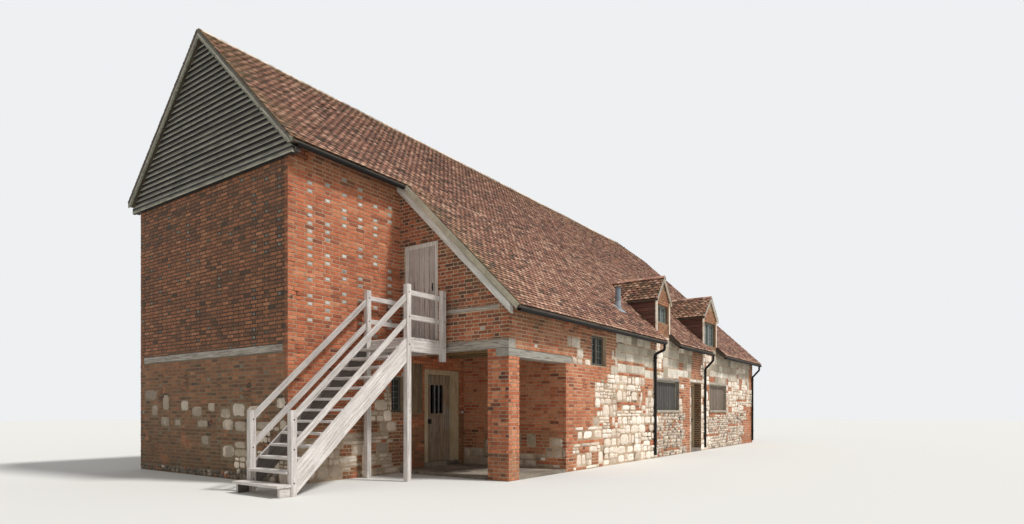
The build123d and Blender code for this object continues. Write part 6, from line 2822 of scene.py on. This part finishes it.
@dataclass
class Windows:
    """Boarded windows, the hatch, and the leads and bars of the glass."""

    hatch_end: float = -6.0         # x that the porch's hatch ends before
    east_start: float = 3.0         # x that the eastern boarded window starts after
    hatch_board: Span = (0.12, 0.004)           # width of a board, and the gap beside it
    wide_board: Span = (0.2, 0.012)
    ledges: Span = (0.16, 0.84)     # shares of its height where a boarded window has ledges
    lead: float = 0.0035            # half its width
    bar: float = 0.011
    lead_pitch: Span = (0.105, 0.14)
    bar_pitch: Span = (0.23, 0.26)

    def build(self) -> None:
        """Boards the shutters and bars the glass."""
        boards, hatch, east = Pile(91), Pile(92), Pile(90)
        for solid in solids("window_shutters"):
            low, high = solid.low, solid.high
            in_porch = high.x < self.hatch_end
            pile = hatch if in_porch else boards
            if low.x > self.east_start:
                pile = east
            width, gap = self.hatch_board if in_porch else self.wide_board
            planks(pile, low, (high.x, low.y + 0.024, high.z), 0, width, gap)
            for share in self.ledges:
                z = low.z + share * (high.z - low.z)
                pile.box((low.x + 0.02, low.y + 0.022, z - 0.05), (high.x - 0.02, high.y, z + 0.05), 0)
            if not in_porch:
                self._lining(low, high)
        # the western boards carry painted shadow in their finish
        boards.ship("window_boards", Look.GREY_BOARDS, "door_boards", "window_shutters")
        hatch.ship("hatch_boards", Look.HATCH_BOARDS, "door_boards")
        east.ship("east_window_boards", Look.EAST_BOARDS, "door_boards")
        dress(Look.GLASS, "window_glass")
        self._leads()

    def _lining(self, low: Vector, high: Vector) -> None:
        """Lines the opening of a boarded window, out to the face of the wall.

        Args:
            low: lowest corner of its boards.
            high: highest corner of its boards.
        """
        east = low.x > self.east_start
        pile = Pile(95)
        front = SHELL.front - 0.012
        for x in (low.x - 0.058, high.x + 0.036):
            pile.box((x, front, low.z - 0.03), (x + 0.022, low.y - 0.002, high.z + 0.036), 2, chamfer=0.003)
        far = (high.x + 0.1, low.y - 0.002, high.z + 0.12)
        pile.box((low.x - 0.1, front - 0.004, high.z + 0.038), far, 0)
        name = "east_window_lining" if east else "west_window_lining"
        pile.ship(name, Look.PALE_WOOD if east else Look.GREY_TIMBER, "window_wood")

    def _leads(self) -> None:
        """Lead bars over the dormer and front panes, wooden bars on the other windows."""
        lead, wood = Pile(93), Pile(94)
        for pane in solids("window_glass"):
            low, high = pane.low, pane.high
            leaded = high.y < 0
            across = 0 if high.x - low.x > 0.1 else 1
            pitch = self.lead_pitch if leaded else self.bar_pitch
            half = self.lead if leaded else self.bar
            outer = self._outer(low, high, across)
            for axis, size in ((across, pitch[0]), (2, pitch[1])):
                count = max(2, round((high[axis] - low[axis]) / size))
                for number in range(1, count):
                    place = low[axis] + (high[axis] - low[axis]) * number / count
                    a, b = list(low), list(high)
                    a[axis], b[axis] = place - half, place + half
                    a[1 - across], b[1 - across] = outer
                    long_axis = 2 if axis == across else across
                    (lead if leaded else wood).box(a, b, long_axis, chamfer=0.002, wear=0.0, pitch=2.0)
        lead.ship("window_leads", Look.LEAD, "window_wood")
        wood.ship("window_bars", Look.WINDOW_WOOD, "window_wood")

    @staticmethod
    def _outer(low: Vector, high: Vector, across: int) -> Span:
        """Depth of the bars, from inside the pane to a little outside it.

        Args:
            low: lowest corner of the pane.
            high: highest corner of the pane.
            across: the level axis that it spans, 0 or 1.

        Returns:
            From and to, along the other level axis.
        """
        thin = 1 - across
        if low[thin] > 0:
            return (low[thin] - 0.004, high[thin] + 0.006)
        return (low[thin] - 0.006, high[thin] + 0.004)


# Stair, rainwater, flue and paving


@dataclass
class Stair:
    """The outside stair of bleached oak."""

    board: float = 0.145            # width of the landing's boards
    board_thickness: float = 0.04
    fascia: float = 0.045
    joist: float = 0.05
    bolts: tuple[float, ...] = (0.15, 0.62, 1.15)       # down from the head of a post

    def build(self) -> None:
        """Replaces its posts, stringers, treads and rails with worn ones, and boards the landing."""
        for seed, (node, look) in enumerate((
            ("stair_posts", Look.STAIR_OAK), ("stair_stringers", Look.STRINGER_OAK),
            ("stair_treads", Look.STAIR_OAK), ("stair_rails", Look.STAIR_OAK),
        ), start=100):
            timbers(node, seed, look, "stair_oak", 0.006, 0.002)
        self._landing()
        self._bolts()

    def _landing(self) -> None:
        """Boards across the landing, on its fascias and joists."""
        low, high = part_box("stair_landing")
        pile = Pile(105)
        count = round((high.x - low.x) / self.board)
        step = (high.x - low.x) / count
        for number in range(count):
            start = low.x + number * step + 0.003
            foot = high.z - self.board_thickness
            pile.box((start, low.y, foot), (start + step - 0.006, high.y, high.z), 1, chamfer=0.004)
        top = high.z - 0.042
        for y in (low.y, high.y - self.fascia):
            pile.box((low.x, y, low.z), (high.x, y + self.fascia, top), 0, chamfer=0.005)
        inner = (low.y + self.fascia + 0.001, high.y - self.fascia - 0.001)
        for x in (low.x, (low.x + high.x) / 2, high.x - self.joist):
            pile.box((x, inner[0], low.z + 0.03), (x + self.joist, inner[1], top), 1, chamfer=0.005)
        pile.ship("stair_landing_boards", Look.STAIR_OAK, "stair_oak", "stair_landing")

    def _bolts(self) -> None:
        """Bolt heads where the rails and the stringers meet the posts."""
        laid = Laid(Shape.STUD)
        size = Vector((0.024, 0.02, 0.024))
        for post in solids("stair_posts"):
            low, high = post.low, post.high
            middle = (low.x + high.x) / 2
            for z in (high.z - drop for drop in self.bolts):
                for y, turn in ((low.y, FRONT), (high.y, BACK)):
                    if z > low.z + 0.1:
                        laid.put(Vector((middle, y, z)), Vector((0, 0, turn)), size, 0.5)
        ship(laid.lay("stair_bolts", Look.IRON, 106, 0.02, 0.0), HOUSE, "stair_oak")


@dataclass
class Rainwater:
    """Gutter straps and pipe collars over the black gutters and downpipes."""

    strap_pitch: float = 0.9
    collar: float = 0.045           # radius
    pipes: tuple[float, ...] = (-0.49, 3.96, 10.28)
    line: float = -4.314            # y of the downpipes

    def build(self) -> None:
        """Adds the straps and collars, and dresses the gutters and pipes."""
        pile = Pile(111)
        for gutter in solids("gutters"):
            low, high = gutter.low, gutter.high
            count = max(2, round((high.x - low.x) / self.strap_pitch))
            middle = (low.y + high.y) / 2
            radius = (high.y - low.y) / 2
            for number in range(count):
                x = low.x + (number + 0.5) * (high.x - low.x) / count
                self._strap(pile, x, middle, high.z, radius)
        y = self.line
        for x in self.pipes:
            elbow = max(v.co.z for v in frame["nodes"]["downpipes"].data.vertices
                        if math.hypot(v.co.x - x, v.co.y - y) < 0.05)
            for z in (0.5, elbow / 2, elbow - 0.16):
                pile.rod(Vector((x, y, z - 0.03)), Vector((x, y, z + 0.03)), self.collar, 20)
        pile.ship("rainwater_straps", Look.IRON, "rainwater")
        dress(Look.IRON, "gutters", "downpipes")

    @staticmethod
    def _strap(pile: Pile, x: float, y: float, z: float, radius: float) -> None:
        """Adds a half ring under the gutter.

        Args:
            pile: where it goes.
            x: its place along the gutter.
            y: middle of the gutter.
            z: height of the gutter's edge.
            radius: the gutter's radius.
        """
        sides = 10
        outer, inner = radius - 0.0005, radius - 0.005
        outline = []
        for reach, order in ((outer, 1), (inner, -1)):
            for step in range(sides + 1):
                angle = math.pi * (step if order > 0 else sides - step) / sides
                outline.append(Vector((x - 0.0125, y - reach * math.cos(angle), z - reach * math.sin(angle))))
        pile.prism(outline, Vector((0.025, 0, 0)))
        pile.box((x - 0.012, y - outer, z - 0.004), (x + 0.012, y + outer, z), 1, chamfer=0.001, wear=0.0)


@dataclass
class Flue:
    """The flue pipe, its collar and the lead round its foot."""

    half: float = 0.19              # of the lead's width
    sleeve: float = 0.084           # radius
    ring: float = 0.08
    upper_ring: float = 4.45        # height

    def build(self) -> None:
        """Lays the lead over the tiles and rings the pipe."""
        slope = math.atan(SHELL.slope)
        out = Vector((0, -math.sin(slope), math.cos(slope)))
        down = Vector((0, -math.cos(slope), -math.sin(slope)))
        foot = Vector((FLUE_X, FLUE_Y, SHELL.roof_top(FLUE_Y)))
        corners = ((0.2, 0.03), (0.2, 0.042), (-0.17, 0.036), (-0.17, 0.026))

        def section(along: float) -> Quad:
            """The lead's section, this far along the roof."""
            side = foot + Vector((along, 0, 0))
            return [side + down * fall + out * lift for fall, lift in corners]

        lead, rings = Pile(121), Pile(122)
        lead.sweep(section, (-self.half, self.half), chamfer=0.003, wear=0.004, pitch=0.08)
        top = foot.z + 0.2
        self._rod(lead, (foot.z - 0.05, top), self.sleeve)
        for z in (top + 0.005, self.upper_ring):
            self._rod(rings, (z - 0.012, z + 0.012), self.ring)
        lead.ship("flue_lead", Look.LEAD, "flue_metal")
        rings.ship("flue_rings", Look.FLUE, "flue_metal")
        dress(Look.FLUE, "flue_pipe")

    @staticmethod
    def _rod(pile: Pile, levels: Span, radius: float) -> None:
        """Adds a round between two heights of the pipe."""
        pile.rod(Vector((FLUE_X, FLUE_Y, levels[0])), Vector((FLUE_X, FLUE_Y, levels[1])), radius, 28)


@dataclass
class Paving:
    """Flags of the porch floor, the thresholds and the ground floor."""

    deep: Span = (0.4, 0.6)
    wide: Span = (0.4, 0.75)
    edge: float = 0.004             # from the flags to the walls
    joint: float = 0.008
    pier: Span = (0.36, 0.51)       # size of the corner pier, which stands on the floor
    seed: int = 131

    def build(self) -> None:
        """Lays the flags over the porch floor and dresses the rest."""
        low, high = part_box("porch_floor")
        pile = Pile(self.seed)
        y = low.y + self.edge
        while y < high.y - 0.05:
            deep = min(pile.draw.uniform(*self.deep), high.y - self.edge - y)
            x = low.x + self.edge
            while x < high.x - 0.05:
                wide = min(pile.draw.uniform(*self.wide), high.x - self.edge - x)
                if high.x - x - wide < 0.12:
                    wide = high.x - self.edge - x
                corner = (x + wide - self.joint, y + deep - self.joint)
                on_pier = x < low.x + self.pier[0] and y < low.y + self.pier[1]
                if not on_pier:
                    pile.box((x, y, high.z - 0.03), (*corner, high.z + 0.003), 0, chamfer=0.006, wear=0.003)
                x += wide
            y += deep
        pile.ship("porch_flags", Look.PAVING, "paving")
        dress(Look.PAVING, "porch_floor", "thresholds", "ground_floor")


# Light, floor and camera


@dataclass
class Studio:
    """A pale floor, soft light and the camera at the photograph's angle."""

    eye: tuple[float, float, float] = (-17.194, -11.073, 1.35)
    heading: float = 35.13          # degrees from the house's length
    lens: float = 21.68             # millimetres
    lift: float = 0.1453            # how far the picture is shifted up
    sun: float = 3.0
    sky: float = 0.5

    def build(self) -> None:
        """Sets up the floor, the lights, the world and the camera."""
        scene = bpy.context.scene
        scene.view_settings.view_transform = "Standard"
        self._floor()
        lamp = bpy.data.lights.new("sun", "SUN")
        lamp.energy = self.sun
        lamp.angle = math.radians(8)
        light = bpy.data.objects.new("sun", lamp)
        light.rotation_euler = Vector((-0.2, 0.6, -0.92)).to_track_quat("-Z", "Y").to_euler()
        scene.collection.objects.link(light)
        self._world(scene)
        data = bpy.data.cameras.new("photograph")
        data.lens = self.lens
        data.sensor_width = 36.0
        data.shift_y = self.lift
        data.clip_end = 300.0
        camera = bpy.data.objects.new("photograph", data)
        camera.location = self.eye
        camera.rotation_euler = (math.pi / 2, 0.0, math.radians(self.heading - 90))
        scene.collection.objects.link(camera)
        scene.camera = camera

    @staticmethod
    def _floor() -> None:
        """A plain pale floor."""
        work = bmesh.new()
        bmesh.ops.create_grid(work, x_segments=1, y_segments=1, size=90.0)
        mesh = bpy.data.meshes.new("floor")
        work.to_mesh(mesh)
        work.free()
        for vertex in mesh.vertices:
            vertex.co.z = -0.001
        material, _, shader = fresh_material("floor")
        shader.inputs["Base Color"].default_value = paint((214, 212, 206))
        shader.inputs["Roughness"].default_value = 0.95
        mesh.materials.append(material)
        in_scene("floor", mesh)

    def _world(self, scene: bpy.types.Scene) -> None:
        """Gives even light from all round, and a pale background to the camera.

        Args:
            scene: the scene.
        """
        world = bpy.data.worlds.new("studio")
        world.use_nodes = True
        world.node_tree.nodes.clear()
        graph = Graph(world.node_tree)
        seen = graph.add("ShaderNodeLightPath")
        glossy = graph.math("MAXIMUM", seen.outputs["Is Camera Ray"], seen.outputs["Is Glossy Ray"])
        share = graph.math("MAXIMUM", glossy, seen.outputs["Is Transmission Ray"])
        light = graph.add("ShaderNodeBackground", {"Color": paint((250, 252, 255)), "Strength": self.sky})
        pale = graph.add("ShaderNodeBackground", {"Color": paint((238, 240, 242)), "Strength": 1.0})
        both = graph.add("ShaderNodeMixShader", {0: share, 1: light.outputs[0], 2: pale.outputs[0]})
        graph.add("ShaderNodeOutputWorld", {"Surface": both.outputs[0]})
        scene.world = world


def main() -> None:
    """Builds the farmhouse's pieces in order."""
    logging.basicConfig(level=logging.INFO, format="%(message)s")
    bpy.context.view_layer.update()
    Studio().build()
    for part in (
        Masonry(), Roofs(), DormerTrim(), GableBoarding(), Timberwork(), Doors(), Windows(),
        Stair(), Rainwater(), Flue(), Paving(),
    ):
        part.build()
        log.info("%s: done", type(part).__name__)
    SHAPES.clear()


if __name__ == "__main__":
    main()
